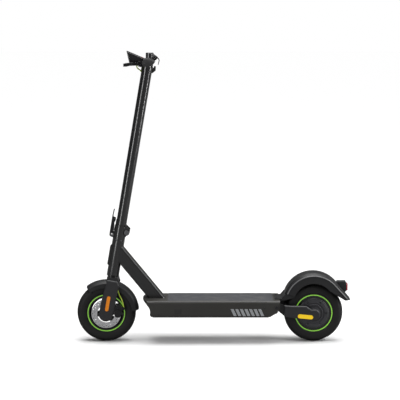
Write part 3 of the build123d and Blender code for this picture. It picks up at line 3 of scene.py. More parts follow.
import bpy
import numpy as np
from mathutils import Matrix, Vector


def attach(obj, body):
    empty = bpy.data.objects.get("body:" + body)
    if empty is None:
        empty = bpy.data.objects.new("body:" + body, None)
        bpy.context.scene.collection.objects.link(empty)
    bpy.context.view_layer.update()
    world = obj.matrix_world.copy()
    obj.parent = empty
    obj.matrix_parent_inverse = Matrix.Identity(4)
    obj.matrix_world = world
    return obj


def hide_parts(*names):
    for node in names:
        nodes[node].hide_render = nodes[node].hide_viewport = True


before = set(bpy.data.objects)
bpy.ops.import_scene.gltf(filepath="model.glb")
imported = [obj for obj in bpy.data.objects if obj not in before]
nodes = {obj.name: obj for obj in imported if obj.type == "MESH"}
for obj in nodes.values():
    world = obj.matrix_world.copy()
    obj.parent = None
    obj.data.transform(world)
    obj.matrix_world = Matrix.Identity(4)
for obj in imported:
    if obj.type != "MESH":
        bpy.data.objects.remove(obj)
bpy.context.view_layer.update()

print("frame loaded with", len(nodes), "nodes")

mm = 0.001
frontAxle = np.array([-0.463, 0.0, 0.127])
rearAxle = np.array([0.433, 0.0, 0.127])
headLean = math.radians(9.8)
columnUp = np.array([math.sin(headLean), 0.0, math.cos(headLean)])
columnBack = np.array([math.cos(headLean), 0.0, -math.sin(headLean)])
barCentre = frontAxle + 1.103 * columnUp + 0.0044 * columnBack


def onColumn(along, behind=0.0, side=0.0):
    # millimetres up the steering axis, behind it and to the right, given back in metres
    return frontAxle + mm * (along * columnUp + behind * columnBack) + np.array([0.0, side * mm, 0.0])


# camera, floor and studio lights
studio = {
    "cameraPlace": (-0.058, -5.6, 1.484),
    "pitchDown": 8.8,
    "lens": 119.0,
    "floorHalf": 30.0,
    "paper": (0.93, 0.93, 0.93),
    "paperBounce": (0.26, 0.26, 0.26),
    "backdrop": (1.0, 1.0, 1.0),
    "fillStrength": 0.085,
    "overheadStrength": 3.2,
    "overheadSpread": 46.0,
    "sideBoxes": [
        {"name": "leftBox", "place": (-2.4, -2.9, 0.9), "size": (0.5, 2.6), "power": 42.0},
        {"name": "rightBox", "place": (2.8, -1.2, 1.0), "size": (0.22, 3.0), "power": 52.0},
        {"name": "rightHigh", "place": (3.0, -0.3, 2.4), "size": (0.35, 2.0), "power": 28.0},
        {"name": "frontTop", "place": (0.2, -2.6, 3.2), "size": (2.6, 0.9), "power": 9.0},
        {"name": "backTop", "place": (0.0, 2.4, 2.6), "size": (2.4, 0.8), "power": 12.0},
    ],
}


def buildStudio():
    lens = bpy.data.cameras.new("studioCamera")
    lens.lens = studio["lens"]
    lens.sensor_width = 36.0
    lens.clip_end = 100.0
    camera = bpy.data.objects.new("studioCamera", lens)
    camera.location = studio["cameraPlace"]
    camera.rotation_euler = (math.radians(90 - studio["pitchDown"]), 0, 0)
    bpy.context.scene.collection.objects.link(camera)
    bpy.context.scene.camera = camera

    world = bpy.data.worlds.new("studioWorld")
    world.use_nodes = True
    tree = world.node_tree
    tree.nodes.clear()
    seen = addNode(tree, "ShaderNodeBackground", {"Color": (*studio["backdrop"], 1), "Strength": 1.0})
    dim = {"Color": (*studio["backdrop"], 1), "Strength": studio["fillStrength"]}
    fill = addNode(tree, "ShaderNodeBackground", dim)
    path = addNode(tree, "ShaderNodeLightPath")
    blend = {0: path.outputs["Is Camera Ray"], 1: fill.outputs[0], 2: seen.outputs[0]}
    both = addNode(tree, "ShaderNodeMixShader", blend)
    addNode(tree, "ShaderNodeOutputWorld", {"Surface": both.outputs[0]})
    bpy.context.scene.world = world
    bpy.context.scene.view_settings.view_transform = "Standard"

    sun = bpy.data.lights.new("overhead", "SUN")
    sun.energy = studio["overheadStrength"]
    sun.angle = math.radians(studio["overheadSpread"])
    overhead = bpy.data.objects.new("overhead", sun)
    overhead.location = (0, 0, 4)
    bpy.context.scene.collection.objects.link(overhead)
    for box in studio["sideBoxes"]:
        light = bpy.data.lights.new(box["name"], "AREA")
        light.shape = "RECTANGLE"
        light.size, light.size_y = box["size"]
        light.energy = box["power"]
        lamp = bpy.data.objects.new(box["name"], light)
        lamp.location = box["place"]
        aim = Vector((0.0, 0.0, 0.5)) - Vector(box["place"])
        lamp.rotation_euler = aim.to_track_quat("-Z", "Y").to_euler()
        bpy.context.scene.collection.objects.link(lamp)

    half = studio["floorHalf"]
    mesh = bpy.data.meshes.new("studioFloor")
    corners = [(-half, -half, 0), (half, -half, 0), (half, half, 0), (-half, half, 0)]
    mesh.from_pydata(corners, [], [(0, 1, 2, 3)])
    floor = bpy.data.objects.new("studioFloor", mesh)
    bpy.context.scene.collection.objects.link(floor)
    paper = bpy.data.materials.new("studioPaper")
    paper.use_nodes = True
    shader = paper.node_tree.nodes["Principled BSDF"]
    # the paper is white to the eye and darker to bounced rays, as with black cards round the object
    rays = addNode(paper.node_tree, "ShaderNodeLightPath").outputs
    bounced = mathNode(paper.node_tree, "MAXIMUM", rays["Is Glossy Ray"], rays["Is Diffuse Ray"])
    tone = addNode(paper.node_tree, "ShaderNodeMix", {"Factor": bounced}, data_type="RGBA")
    tone.inputs[6].default_value = (*studio["paper"], 1)
    tone.inputs[7].default_value = (*studio["paperBounce"], 1)
    paper.node_tree.links.new(tone.outputs[2], shader.inputs["Base Color"])
    shader.inputs["Roughness"].default_value = 0.9
    shader.inputs["Specular IOR Level"].default_value = 0.1
    mesh.materials.append(paper)


# shader helpers
def addNode(tree, kind, inputs=None, **settings):
    made = tree.nodes.new(kind)
    for name, value in settings.items():
        setattr(made, name, value)
    for name, value in (inputs or {}).items():
        if isinstance(value, bpy.types.NodeSocket):
            tree.links.new(value, made.inputs[name])
        else:
            made.inputs[name].default_value = value
    return made


def mathNode(tree, operation, first, second=0.0, clamp=False):
    made = addNode(tree, "ShaderNodeMath", {0: first, 1: second}, operation=operation)
    made.use_clamp = clamp
    return made.outputs[0]


def remap(tree, value, low, high, newLow=0.0, newHigh=1.0):
    made = addNode(
        tree,
        "ShaderNodeMapRange",
        {"Value": value, "From Min": low, "From Max": high, "To Min": newLow, "To Max": newHigh},
        interpolation_type="SMOOTHSTEP",
    )
    return made.outputs["Result"]


def newGroup(name, inputs, outputs):
    tree = bpy.data.node_groups.new(name, "ShaderNodeTree")
    for label, kind, value in inputs:
        socket = tree.interface.new_socket(label, in_out="INPUT", socket_type="NodeSocket" + kind)
        if value is not None:
            socket.default_value = value
    for label, kind in outputs:
        tree.interface.new_socket(label, in_out="OUTPUT", socket_type="NodeSocket" + kind)
    return tree, addNode(tree, "NodeGroupInput").outputs, addNode(tree, "NodeGroupOutput").inputs


def makeFinishGroup():
    # broad tone drift, fine grain and a roughness that follows both
    tree, given, result = newGroup(
        "paintedFinish",
        [
            ("Vector", "Vector", None),
            ("Base", "Color", (0.02, 0.02, 0.02, 1)),
            ("Drift", "Float", 0.2),
            ("Speckle", "Float", 0.1),
            ("Grain", "Float", 600.0),
            ("Rough", "Float", 0.4),
            ("Rough Drift", "Float", 0.1),
        ],
        [("Color", "Color"), ("Roughness", "Float"), ("Height", "Float")],
    )
    broad = addNode(tree, "ShaderNodeTexNoise", {"Vector": given["Vector"], "Scale": 7.0, "Detail": 4.0})
    grain = {"Vector": given["Vector"], "Scale": given["Grain"], "Detail": 2.0}
    fine = addNode(tree, "ShaderNodeTexNoise", grain)
    broadCentred = mathNode(tree, "SUBTRACT", broad.outputs[0], 0.5)
    fineCentred = mathNode(tree, "SUBTRACT", fine.outputs[0], 0.5)
    drift = mathNode(tree, "MULTIPLY", broadCentred, given["Drift"])
    speckle = mathNode(tree, "MULTIPLY", fineCentred, given["Speckle"])
    tone = mathNode(tree, "ADD", mathNode(tree, "ADD", drift, speckle), 1.0)
    scaled = addNode(tree, "ShaderNodeVectorMath", {0: given["Base"], "Scale": tone}, operation="SCALE")
    tree.links.new(scaled.outputs[0], result["Color"])
    both = mathNode(tree, "ADD", broadCentred, mathNode(tree, "MULTIPLY", fineCentred, 0.6))
    roughDrift = mathNode(tree, "MULTIPLY", both, given["Rough Drift"])
    tree.links.new(mathNode(tree, "ADD", given["Rough"], roughDrift, True), result["Roughness"])
    tree.links.new(fine.outputs[0], result["Height"])
    return tree


def makeDustGroup():
    # pale dust that settles on faces that look up, in broken patches
    tree, given, result = newGroup(
        "settledDust",
        [
            ("Vector", "Vector", None),
            ("Normal", "Vector", None),
            ("Color", "Color", (0.02, 0.02, 0.02, 1)),
            ("Dust", "Color", (0.23, 0.22, 0.2, 1)),
            ("Amount", "Float", 0.1),
        ],
        [("Color", "Color"), ("Mask", "Float")],
    )
    upward = addNode(tree, "ShaderNodeSeparateXYZ", {0: given["Normal"]}).outputs["Z"]
    facing = remap(tree, upward, 0.2, 1.0)
    patches = addNode(tree, "ShaderNodeTexNoise", {"Vector": given["Vector"], "Scale": 26.0, "Detail": 6.0})
    cover = remap(tree, patches.outputs[0], 0.38, 0.72)
    mask = mathNode(tree, "MULTIPLY", mathNode(tree, "MULTIPLY", facing, cover), given["Amount"])
    mixed = addNode(tree, "ShaderNodeMix", {"Factor": mask}, data_type="RGBA")
    tree.links.new(given["Color"], mixed.inputs[6])
    tree.links.new(given["Dust"], mixed.inputs[7])
    tree.links.new(mixed.outputs[2], result["Color"])
    tree.links.new(mask, result["Mask"])
    return tree


def makeTurnedGroup():
    # rings round a wheel's axle, as a lathe leaves them
    tree, given, result = newGroup(
        "turnedRings",
        [("Vector", "Vector", None), ("Centre", "Vector", (0, 0, 0)), ("Rings", "Float", 1500.0)],
        [("Lines", "Float"), ("Radius", "Float")],
    )
    ends = {0: given["Vector"], 1: given["Centre"]}
    fromCentre = addNode(tree, "ShaderNodeVectorMath", ends, operation="SUBTRACT")
    acrossAxle = {0: fromCentre.outputs[0], 1: (1, 0, 1)}
    flat = addNode(tree, "ShaderNodeVectorMath", acrossAxle, operation="MULTIPLY")
    radius = addNode(tree, "ShaderNodeVectorMath", {0: flat.outputs[0]}, operation="LENGTH").outputs["Value"]
    spread = {"W": radius, "Scale": given["Rings"], "Detail": 3.0}
    rings = addNode(tree, "ShaderNodeTexNoise", spread, noise_dimensions="1D")
    tree.links.new(rings.outputs[0], result["Lines"])
    tree.links.new(radius, result["Radius"])
    return tree


finishGroup = makeFinishGroup()
dustGroup = makeDustGroup()
turnedGroup = makeTurnedGroup()


def groupNode(tree, group, inputs):
    made = tree.nodes.new("ShaderNodeGroup")
    made.node_tree = group
    for name, value in inputs.items():
        if isinstance(value, bpy.types.NodeSocket):
            tree.links.new(value, made.inputs[name])
        else:
            made.inputs[name].default_value = value
    return made


def makeMaterial(name, look):
    # one painted, moulded or metal finish: group values feed the shader, constants sit on it
    material = bpy.data.materials.new(name)
    material.use_nodes = True
    tree = material.node_tree
    shader = tree.nodes["Principled BSDF"]
    place = addNode(tree, "ShaderNodeTexCoord").outputs
    finish = groupNode(
        tree,
        finishGroup,
        {
            "Vector": place["Object"],
            "Base": (*look["base"], 1),
            "Drift": look.get("drift", 0.3),
            "Speckle": look.get("speckle", 0.25),
            "Grain": look.get("grain", 700.0),
            "Rough": look["rough"],
            "Rough Drift": look.get("roughDrift", 0.12),
        },
    )
    color = finish.outputs["Color"]
    height = finish.outputs["Height"]
    if look.get("rings"):
        lathe = {"Vector": place["Object"], "Centre": look["centre"], "Rings": look["rings"]}
        height = groupNode(tree, turnedGroup, lathe).outputs["Lines"]
        tone = remap(tree, height, 0.3, 0.7, 0.75, 1.2)
        color = addNode(tree, "ShaderNodeVectorMath", {0: color, "Scale": tone}, operation="SCALE").outputs[0]
    if look.get("hatch"):
        wave = addNode(
            tree,
            "ShaderNodeTexWave",
            {"Vector": place["Object"], "Scale": look["hatch"], "Distortion": 0.0},
            bands_direction="DIAGONAL",
        )
        tone = remap(tree, wave.outputs[1], 0.35, 0.6, 0.45, 1.0)
        color = addNode(tree, "ShaderNodeVectorMath", {0: color, "Scale": tone}, operation="SCALE").outputs[0]
    if look.get("dust"):
        dusty = groupNode(
            tree,
            dustGroup,
            {
                "Vector": place["Object"],
                "Normal": place["Normal"],
                "Color": color,
                "Amount": look["dust"],
            },
        )
        color = dusty.outputs["Color"]
    tree.links.new(color, shader.inputs["Base Color"])
    tree.links.new(finish.outputs["Roughness"], shader.inputs["Roughness"])
    relief = {"Strength": look.get("bump", 0.25), "Distance": look.get("depth", 0.0002), "Height": height}
    bump = addNode(tree, "ShaderNodeBump", relief)
    tree.links.new(bump.outputs[0], shader.inputs["Normal"])
    for socket, key in (
        ("Metallic", "metal"),
        ("Coat Weight", "coat"),
        ("Coat Roughness", "coatRough"),
        ("Specular IOR Level", "specular"),
        ("Transmission Weight", "clear"),
        ("IOR", "ior"),
        ("Emission Strength", "glow"),
    ):
        if key in look:
            shader.inputs[socket].default_value = look[key]
    # the glow values make the rim stripes and reflectors emit light though they are no lamps: painted light
    if "glow" in look:
        shader.inputs["Emission Color"].default_value = (*look["glowColor"], 1)
    return material


looks = {
    "stemPaint": {
        "base": (0.009, 0.009, 0.0095),
        "rough": 0.24,
        "coat": 0.6,
        "coatRough": 0.1,
        "grain": 900.0,
        "bump": 0.06,
    },
    "framePaint": {
        "base": (0.0105, 0.0105, 0.011),
        "rough": 0.34,
        "coat": 0.35,
        "coatRough": 0.12,
        "grain": 1100.0,
        "bump": 0.12,
    },
    "mattPaint": {"base": (0.010, 0.010, 0.010), "rough": 0.55, "grain": 1200.0, "bump": 0.25},
    "bladePlastic": {
        "base": (0.018, 0.018, 0.020),
        "rough": 0.42,
        "grain": 1500.0,
        "bump": 0.3,
        "speckle": 0.35,
    },
    "deckPaint": {
        "base": (0.028, 0.027, 0.024),
        "rough": 0.46,
        "grain": 1300.0,
        "bump": 0.3,
        "speckle": 0.4,
        "dust": 0.05,
    },
    "undersidePlastic": {"base": (0.014, 0.014, 0.014), "rough": 0.6, "grain": 500.0, "bump": 0.4},
    "fenderPlastic": {
        "base": (0.020, 0.020, 0.021),
        "rough": 0.42,
        "specular": 0.28,
        "grain": 1500.0,
        "bump": 0.25,
        "speckle": 0.3,
        "dust": 0.04,
    },
    "armPaint": {"base": (0.014, 0.014, 0.015), "rough": 0.45, "grain": 900.0, "bump": 0.2},
    "matRubber": {
        "base": (0.045, 0.047, 0.053),
        "rough": 0.72,
        "grain": 1400.0,
        "bump": 0.4,
        "speckle": 0.5,
        "dust": 0.12,
    },
    "tyreRubber": {
        "base": (0.010, 0.0097, 0.0097),
        "rough": 0.6,
        "specular": 0.35,
        "grain": 1600.0,
        "bump": 0.35,
        "speckle": 0.4,
        "drift": 0.4,
        "dust": 0.05,
    },
    "gripRubber": {
        "base": (0.018, 0.018, 0.019),
        "rough": 0.6,
        "grain": 2200.0,
        "bump": 0.4,
        "speckle": 0.4,
    },
    "flapRubber": {"base": (0.020, 0.020, 0.018), "rough": 0.6, "grain": 1500.0, "bump": 0.3},
    "glossPlastic": {
        "base": (0.008, 0.008, 0.009),
        "rough": 0.18,
        "coat": 0.5,
        "coatRough": 0.05,
        "grain": 1200.0,
        "bump": 0.04,
    },
    "displayGlass": {
        "base": (0.004, 0.004, 0.006),
        "rough": 0.07,
        "coat": 1.0,
        "coatRough": 0.03,
        "grain": 300.0,
        "bump": 0.01,
    },
    "anodisedBlack": {
        "base": (0.03, 0.03, 0.032),
        "rough": 0.34,
        "metal": 0.75,
        "grain": 1900.0,
        "bump": 0.2,
    },
    "bellLacquer": {
        "base": (0.009, 0.009, 0.01),
        "rough": 0.12,
        "coat": 0.9,
        "coatRough": 0.04,
        "grain": 800.0,
        "bump": 0.03,
    },
    "blackOxide": {
        "base": (0.05, 0.05, 0.052),
        "rough": 0.35,
        "metal": 0.9,
        "grain": 2500.0,
        "bump": 0.2,
    },
    # light grey bead plastic: painted highlight along the rear fender's ridge
    "beadPaintedHighlight": {"base": (0.16, 0.16, 0.162), "rough": 0.35, "grain": 1500.0, "bump": 0.15},
    "pinSteel": {"base": (0.22, 0.22, 0.23), "rough": 0.32, "metal": 1.0, "grain": 1800.0, "bump": 0.15},
    "zincSteel": {
        "base": (0.42, 0.42, 0.43),
        "rough": 0.32,
        "metal": 1.0,
        "grain": 1800.0,
        "bump": 0.15,
    },
    "rimPaint": {
        "base": (0.007, 0.007, 0.007),
        "rough": 0.34,
        "coat": 0.3,
        "coatRough": 0.15,
        "grain": 1000.0,
        "bump": 0.1,
    },
    "motorPaint": {
        "base": (0.034, 0.034, 0.039),
        "rough": 0.36,
        "coat": 0.2,
        "coatRough": 0.2,
        "rings": 2600.0,
        "centre": tuple(rearAxle),
        "bump": 0.12,
        "depth": 0.0001,
    },
    "rotorSteel": {
        "base": (0.72, 0.72, 0.74),
        "rough": 0.28,
        "metal": 1.0,
        "rings": 2200.0,
        "centre": tuple(frontAxle),
        "bump": 0.2,
        "depth": 0.0001,
    },
    "limeStripe": {
        "base": (0.27, 0.70, 0.06),
        "rough": 0.3,
        "coat": 0.4,
        # glow and glowColor: painted highlight, the rim stripe emits light though it is no lamp
        "glow": 0.22,
        "glowColor": (0.4, 0.95, 0.1),
        "grain": 900.0,
        "bump": 0.05,
        "speckle": 0.1,
        "drift": 0.15,
    },
    "cableSleeve": {
        "base": (0.36, 0.50, 0.03),
        "rough": 0.42,
        "grain": 2400.0,
        "bump": 0.15,
        "drift": 0.2,
    },
    "orangeReflector": {
        "base": (0.78, 0.22, 0.0),
        "rough": 0.25,
        "coat": 0.3,
        "coatRough": 0.05,
        # glow and glowColor: painted light, the front reflector emits light though it is no lamp
        "glow": 0.09,
        "glowColor": (0.9, 0.3, 0.0),
        "speckle": 0.15,
        "drift": 0.2,
        "bump": 0.1,
    },
    "amberReflector": {
        "base": (0.92, 0.60, 0.01),
        "rough": 0.25,
        "coat": 0.3,
        "coatRough": 0.05,
        # glow and glowColor: painted light, the rear reflector emits light though it is no lamp
        "glow": 0.2,
        "glowColor": (0.95, 0.65, 0.01),
        "speckle": 0.15,
        "drift": 0.2,
        "bump": 0.1,
    },
    "reflectiveFilm": {
        "base": (0.50, 0.52, 0.54),
        "rough": 0.35,
        "metal": 0.2,
        "hatch": 110.0,
        "grain": 1500.0,
        "bump": 0.1,
    },
    "redLens": {
        "base": (0.36, 0.012, 0.03),
        "rough": 0.12,
        "coat": 1.0,
        "coatRough": 0.03,
        "glow": 0.03,
        "glowColor": (0.9, 0.02, 0.05),
        "bump": 0.05,
    },
    "clearLens": {
        "base": (0.80, 0.83, 0.86),
        "rough": 0.08,
        "clear": 0.75,
        "ior": 1.49,
        "grain": 300.0,
        "speckle": 0.05,
        "bump": 0.05,
    },
    "packSleeve": {"base": (0.03, 0.10, 0.32), "rough": 0.3, "grain": 400.0, "bump": 0.1},
    "statorCopper": {
        "base": (0.45, 0.22, 0.10),
        "rough": 0.4,
        "metal": 0.8,
        "grain": 900.0,
        "bump": 0.3,
    },
    "redButton": {"base": (0.35, 0.03, 0.02), "rough": 0.4, "grain": 1500.0, "bump": 0.2},
}
materials = {name: makeMaterial(name, look) for name, look in looks.items()}

nodeFinish = {
    "stemPaint": ["stem_tube", "head_tube", "handlebar_clamp", "stem_foot", "folding_base"],
    "framePaint": ["down_tube", "fork_crown", "handlebar"],
    "mattPaint": ["head_plate", "charge_port", "headset_bearings"],
    "bladePlastic": ["fork_covers", "arm_covers"],
    "deckPaint": ["deck_frame"],
    "undersidePlastic": ["deck_bottom_cover"],
    "fenderPlastic": ["rear_fender", "front_fender", "tail_light_housing"],
    "armPaint": ["swingarm_yoke", "fork_legs"],
    "matRubber": ["deck_mat"],
    "tyreRubber": ["front_tyre", "rear_tyre"],
    "gripRubber": ["grips"],
    "flapRubber": ["charge_cap"],
    "glossPlastic": ["throttle_housing", "throttle_paddle", "headlight_housing", "fold_hook"],
    "displayGlass": ["display_panel"],
    "anodisedBlack": [
        "brake_caliper",
        "caliper_arm",
        "brake_lever_clamp",
        "brake_lever",
        "fold_lever",
        "kickstand_leg",
    ],
    "bellLacquer": ["bell_body", "bell_striker"],
    "blackOxide": ["deck_screws", "motor_cover_screws", "swingarm_pivot_bolt"],
    "pinSteel": ["fold_pins"],
    "zincSteel": ["front_axle", "rear_axle"],
    "rimPaint": ["front_rim", "motor_shell"],
    "motorPaint": ["motor_cover"],
    "rotorSteel": ["brake_rotor"],
    "limeStripe": ["front_rim_stripes", "rear_rim_stripes"],
    "cableSleeve": ["brake_cable_upper", "brake_cable_lower"],
    "orangeReflector": ["front_reflectors"],
    "amberReflector": ["rear_reflectors"],
    "reflectiveFilm": ["side_stripes"],
    "redLens": ["tail_light_lens"],
    "clearLens": ["headlight_lens"],
    "packSleeve": ["battery_and_controller"],
    "statorCopper": ["motor_stator"],
    "redButton": ["power_button"],
}
for finish, names in nodeFinish.items():
    for name in names:
        nodes[name].data.materials.clear()
        nodes[name].data.materials.append(materials[finish])
print("finishes on", sum(len(names) for names in nodeFinish.values()), "nodes")

buildStudio()
print("studio set")


# mesh helpers
def newPiece(name, vertices, faces, material, body, smooth=True):
    mesh = bpy.data.meshes.new(name)
    mesh.from_pydata(vertices.tolist(), [], faces)
    mesh.validate()
    mesh.polygons.foreach_set("use_smooth", [smooth] * len(mesh.polygons))
    mesh.materials.append(materials[material])
    piece = bpy.data.objects.new(name, mesh)
    bpy.context.scene.collection.objects.link(piece)
    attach(piece, body)
    return piece


def gridFaces(rows, columns, wrapRows, wrapColumns, flip=False):
    # quads between neighbouring points of a grid that may close on itself either way
    lastRow = rows if wrapRows else rows - 1
    lastColumn = columns if wrapColumns else columns - 1
    row, column = np.meshgrid(np.arange(lastRow), np.arange(lastColumn), indexing="ij")
    nextRow, nextColumn = (row + 1) % rows, (column + 1) % columns
    corners = [
        row * columns + column,
        nextRow * columns + column,
        nextRow * columns + nextColumn,
        row * columns + nextColumn,
    ]
    quads = np.stack([corner.ravel() for corner in corners], axis=1)
    return (quads[:, ::-1] if flip else quads).tolist()


def loft(name, sections, material, body, flip=False):
    # closed sections carried along a path, one row each, with a flat cap at both ends
    rows, columns = sections.shape[:2]
    faces = gridFaces(rows, columns, False, True, flip)
    first = list(range(columns))
    last = [(rows - 1) * columns + index for index in range(columns)]
    caps = [first, last[::-1]] if not flip else [first[::-1], last]
    return newPiece(name, sections.reshape(-1, 3), faces + caps, material, body)


def pulse(phase, width, soft):
    # 1 within half a width of each whole number, with soft flanks, 0 elsewhere
    away = np.abs((phase + 0.5) % 1.0 - 0.5)
    return np.clip((width / 2 + soft - away) / soft, 0.0, 1.0)


# tyres: one closed section turned round the axle, with grooves pressed into the tread
tyreShape = {
    "around": 720,
    "halfWidth": 0.031,
    "widest": 0.104,
    "crown": 0.127,
    "flangeHalf": 0.0273,
    "flangeRadius": 0.0845,
    "wall": 0.0055,
    "beadOuter": 0.0237,
    "beadInner": 0.0180,
    "beadRadius": 0.0820,
    "blocks": 56,
    "grooveDepth": 0.0018,
    "grooveSide": 0.0075,
    "grooveSwing": 0.0018,
    "shoulderStart": 0.0115,
    "shoulderEnd": 0.0285,
    "nickHalf": 0.0045,
    "wallRibs": [(0.0945, 0.0009), (0.0975, 0.0007)],
    "ribHeight": 0.00035,
    "ribsPast": 0.0268,
    "ribsWithin": 0.103,
}


def tyreSection(shape):
    # a superellipse over the crown, quarter ellipses down to the beads, and an inner wall back
    swing = np.linspace(-np.pi / 2, np.pi / 2, 61)
    side = shape["halfWidth"] * np.sign(np.sin(swing)) * np.abs(np.sin(swing)) ** 0.92
    radius = shape["widest"] + (shape["crown"] - shape["widest"]) * np.abs(np.cos(swing)) ** 0.86
    drop = np.linspace(0, 1, 12)[1:]
    bulge = shape["halfWidth"] - shape["flangeHalf"]
    wallSide = shape["flangeHalf"] + bulge * np.sqrt(np.clip(1 - drop**2, 0, 1))
    wallRadius = shape["widest"] - drop * (shape["widest"] - shape["flangeRadius"])
    beadSide = np.array([shape["beadOuter"], shape["beadOuter"], shape["beadInner"]])
    beadRadius = np.array([shape["flangeRadius"], shape["beadRadius"], shape["beadRadius"]])
    innerSwing = np.linspace(np.pi / 2, -np.pi / 2, 15)
    innerSide = (shape["halfWidth"] - shape["wall"]) * np.sin(innerSwing)
    innerRadius = shape["widest"] + (shape["crown"] - shape["widest"] - shape["wall"]) * np.cos(innerSwing)
    allSide = np.concatenate([side, wallSide, beadSide, innerSide, -beadSide[::-1], -wallSide[::-1]])
    back = [beadRadius[::-1], wallRadius[::-1]]
    allRadius = np.concatenate([radius, wallRadius, beadRadius, innerRadius, *back])
    outer = np.zeros(len(allSide))
    outer[: len(side)] = 1.0
    return allSide, allRadius, outer


def buildTyre(name, centre, body, node):
    side, radius, outer = tyreSection(tyreShape)
    turn = np.linspace(0, 2 * np.pi, tyreShape["around"], endpoint=False)[:, None]
    across = np.abs(side)[None, :]
    step = turn / (2 * np.pi) * tyreShape["blocks"]
    zigzag = np.abs((step % 1.0) - 0.5) * 4 - 1
    # two zigzag lines, slanted notches on both shoulders and short nicks down the middle
    grooveSide, grooveSwing = tyreShape["grooveSide"], tyreShape["grooveSwing"]
    line = pulse((side[None, :] - grooveSide - grooveSwing * zigzag) / 0.2, 0.010, 0.005)
    line = np.maximum(line, pulse((side[None, :] + grooveSide + grooveSwing * zigzag) / 0.2, 0.010, 0.005))
    pastStart = across - tyreShape["shoulderStart"]
    shoulder = np.clip(pastStart / 0.002, 0, 1) * np.clip((tyreShape["shoulderEnd"] - across) / 0.003, 0, 1)
    slant = np.sign(side)[None, :] * 0.5 + pastStart / 0.05
    notch = pulse(step + slant, 0.14, 0.07) * shoulder
    centreNick = pulse(step + 0.25, 0.10, 0.06) * np.clip((tyreShape["nickHalf"] - across) / 0.001, 0, 1)
    depth = np.maximum(np.maximum(line, notch), 0.7 * centreNick) * outer[None, :]
    rib = sum(np.exp(-(((radius - at) / width) ** 2)) for at, width in tyreShape["wallRibs"])
    onWall = (across[0] > tyreShape["ribsPast"]) & (radius < tyreShape["ribsWithin"])
    reach = radius[None, :] - tyreShape["grooveDepth"] * depth
    lift = side + np.sign(side) * tyreShape["ribHeight"] * rib * onWall
    x = centre[0] + reach * np.cos(turn)
    z = centre[2] + reach * np.sin(turn)
    y = np.broadcast_to(lift[None, :], x.shape)
    points = np.stack([x, y, z], axis=-1)
    faces = gridFaces(len(turn), len(side), True, True, flip=True)
    piece = newPiece(name, points.reshape(-1, 3), faces, "tyreRubber", body)
    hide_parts(node)
    return piece


buildTyre("front_tyre_tread", frontAxle, "front_wheel", "front_tyre")
buildTyre("rear_tyre_tread", rearAxle, "rear_wheel", "rear_tyre")
print("tyres made")

# turned pieces: a closed section carried round an axle
def turned(name, sides, radii, centre, around, material, body, dents=None, flip=False):
    turn = np.linspace(0, 2 * np.pi, around, endpoint=False)[:, None]
    x = radii[None, :] * np.cos(turn)
    z = radii[None, :] * np.sin(turn)
    y = sides[None, :] + (dents(x, z, sides[None, :]) if dents else 0 * x)
    points = np.stack([x, y, z], axis=-1) * mm + centre
    faces = gridFaces(around, len(radii), True, True, flip)
    return newPiece(name, points.reshape(-1, 3), faces, material, body)


def evenSides(corners):
    # each side of a closed outline is cut into eight even steps
    closed = np.array(corners + corners[:1], float)
    step = np.arange(8)[None, :, None] / 8
    return (closed[:-1, None] * (1 - step) + closed[1:, None] * step).reshape(-1, 2)


# rim well: the dark sleeve between the front rim and the rotor
rimWell = {
    "section": [(-24.0, 72.2), (-14.0, 64.5), (14.0, 64.5), (24.0, 72.2), (24.0, 75.0), (-24.0, 75.0)],
    "around": 240,
}


def buildWell():
    side, radius = evenSides(rimWell["section"]).T
    return turned("rim_well", side, radius, frontAxle, rimWell["around"], "rimPaint", "front_wheel")


buildWell()
print("rim well made")

# motor cover: stepped rings round the boss, with a pocket round each screw
cover = {
    "boss": [(6.1, -38), (19, -38), (21, -36.6), (27, -34), (34, -33.2)],
    "rings": [(35, -35.6), (38, -35.6), (40, -33.2), (45, -33.4), (47, -36), (60, -35.6)],
    "edge": [(61.6, -33), (64, -32.4), (66.7, -30), (66.7, -24.3)],
    "back": [(58, -24.3), (56, -27.2), (6.1, -27.2)],
    "screws": 6,
    "screwCircle": 53.0,
    "pocket": 3.9,
    "pocketSlope": 0.9,
    "pocketDepth": 2.2,
    "around": 600,
}


def pockets(x, z, side):
    # a soft step down inside the pocket radius round the nearest screw, on the front face only
    slot = 2 * np.pi / cover["screws"]
    swing = np.abs((np.arctan2(z, x) + slot / 2) % slot - slot / 2)
    reach = np.hypot(x, z)
    away = np.sqrt((reach * np.cos(swing) - cover["screwCircle"]) ** 2 + (reach * np.sin(swing)) ** 2)
    inside = np.clip((cover["pocket"] + cover["pocketSlope"] - away) / cover["pocketSlope"], 0, 1)
    return cover["pocketDepth"] * inside * (side < -35)


def buildCover():
    corners = np.array(cover["boss"] + cover["rings"] + cover["edge"] + cover["back"], float)
    closed = np.concatenate([corners, corners[:1]])
    lengths = np.concatenate([[0], np.cumsum(np.hypot(*np.diff(closed, axis=0).T))])
    even = np.union1d(np.linspace(0, lengths[-1], 100), lengths)[:-1]
    radii = np.interp(even, lengths, closed[:, 0])
    sides = np.interp(even, lengths, closed[:, 1])
    place = (rearAxle, cover["around"], "motorPaint", "rear_wheel")
    return turned("motor_cover_ringed", sides, radii, *place, pockets, flip=True)


motorCover = buildCover()
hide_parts("motor_cover")
print("motor cover made")

# washers: light rings on the near ends of the fold joint's two pins
washers = {
    "hinge": {"along": 361.0, "behind": 29.6, "inner": 6.8, "outer": 10.4, "from": -22.3, "to": -24.6},
    "latch": {"along": 342.0, "behind": -33.0, "inner": 6.3, "outer": 8.1, "from": -13.9, "to": -15.3},
}


washerSteps = 48


def buildWasher(name, washer):
    inner, outer, near, far = washer["inner"], washer["outer"], washer["from"], washer["to"]
    side, radius = evenSides([(near, outer), (far, outer), (far, inner), (near, inner)]).T
    centre = onColumn(washer["along"], washer["behind"])
    return turned(name, side, radius, centre, washerSteps, "pinSteel", "fork")


buildWasher("hinge_washer", washers["hinge"])
buildWasher("latch_washer", washers["latch"])
print("washers made")

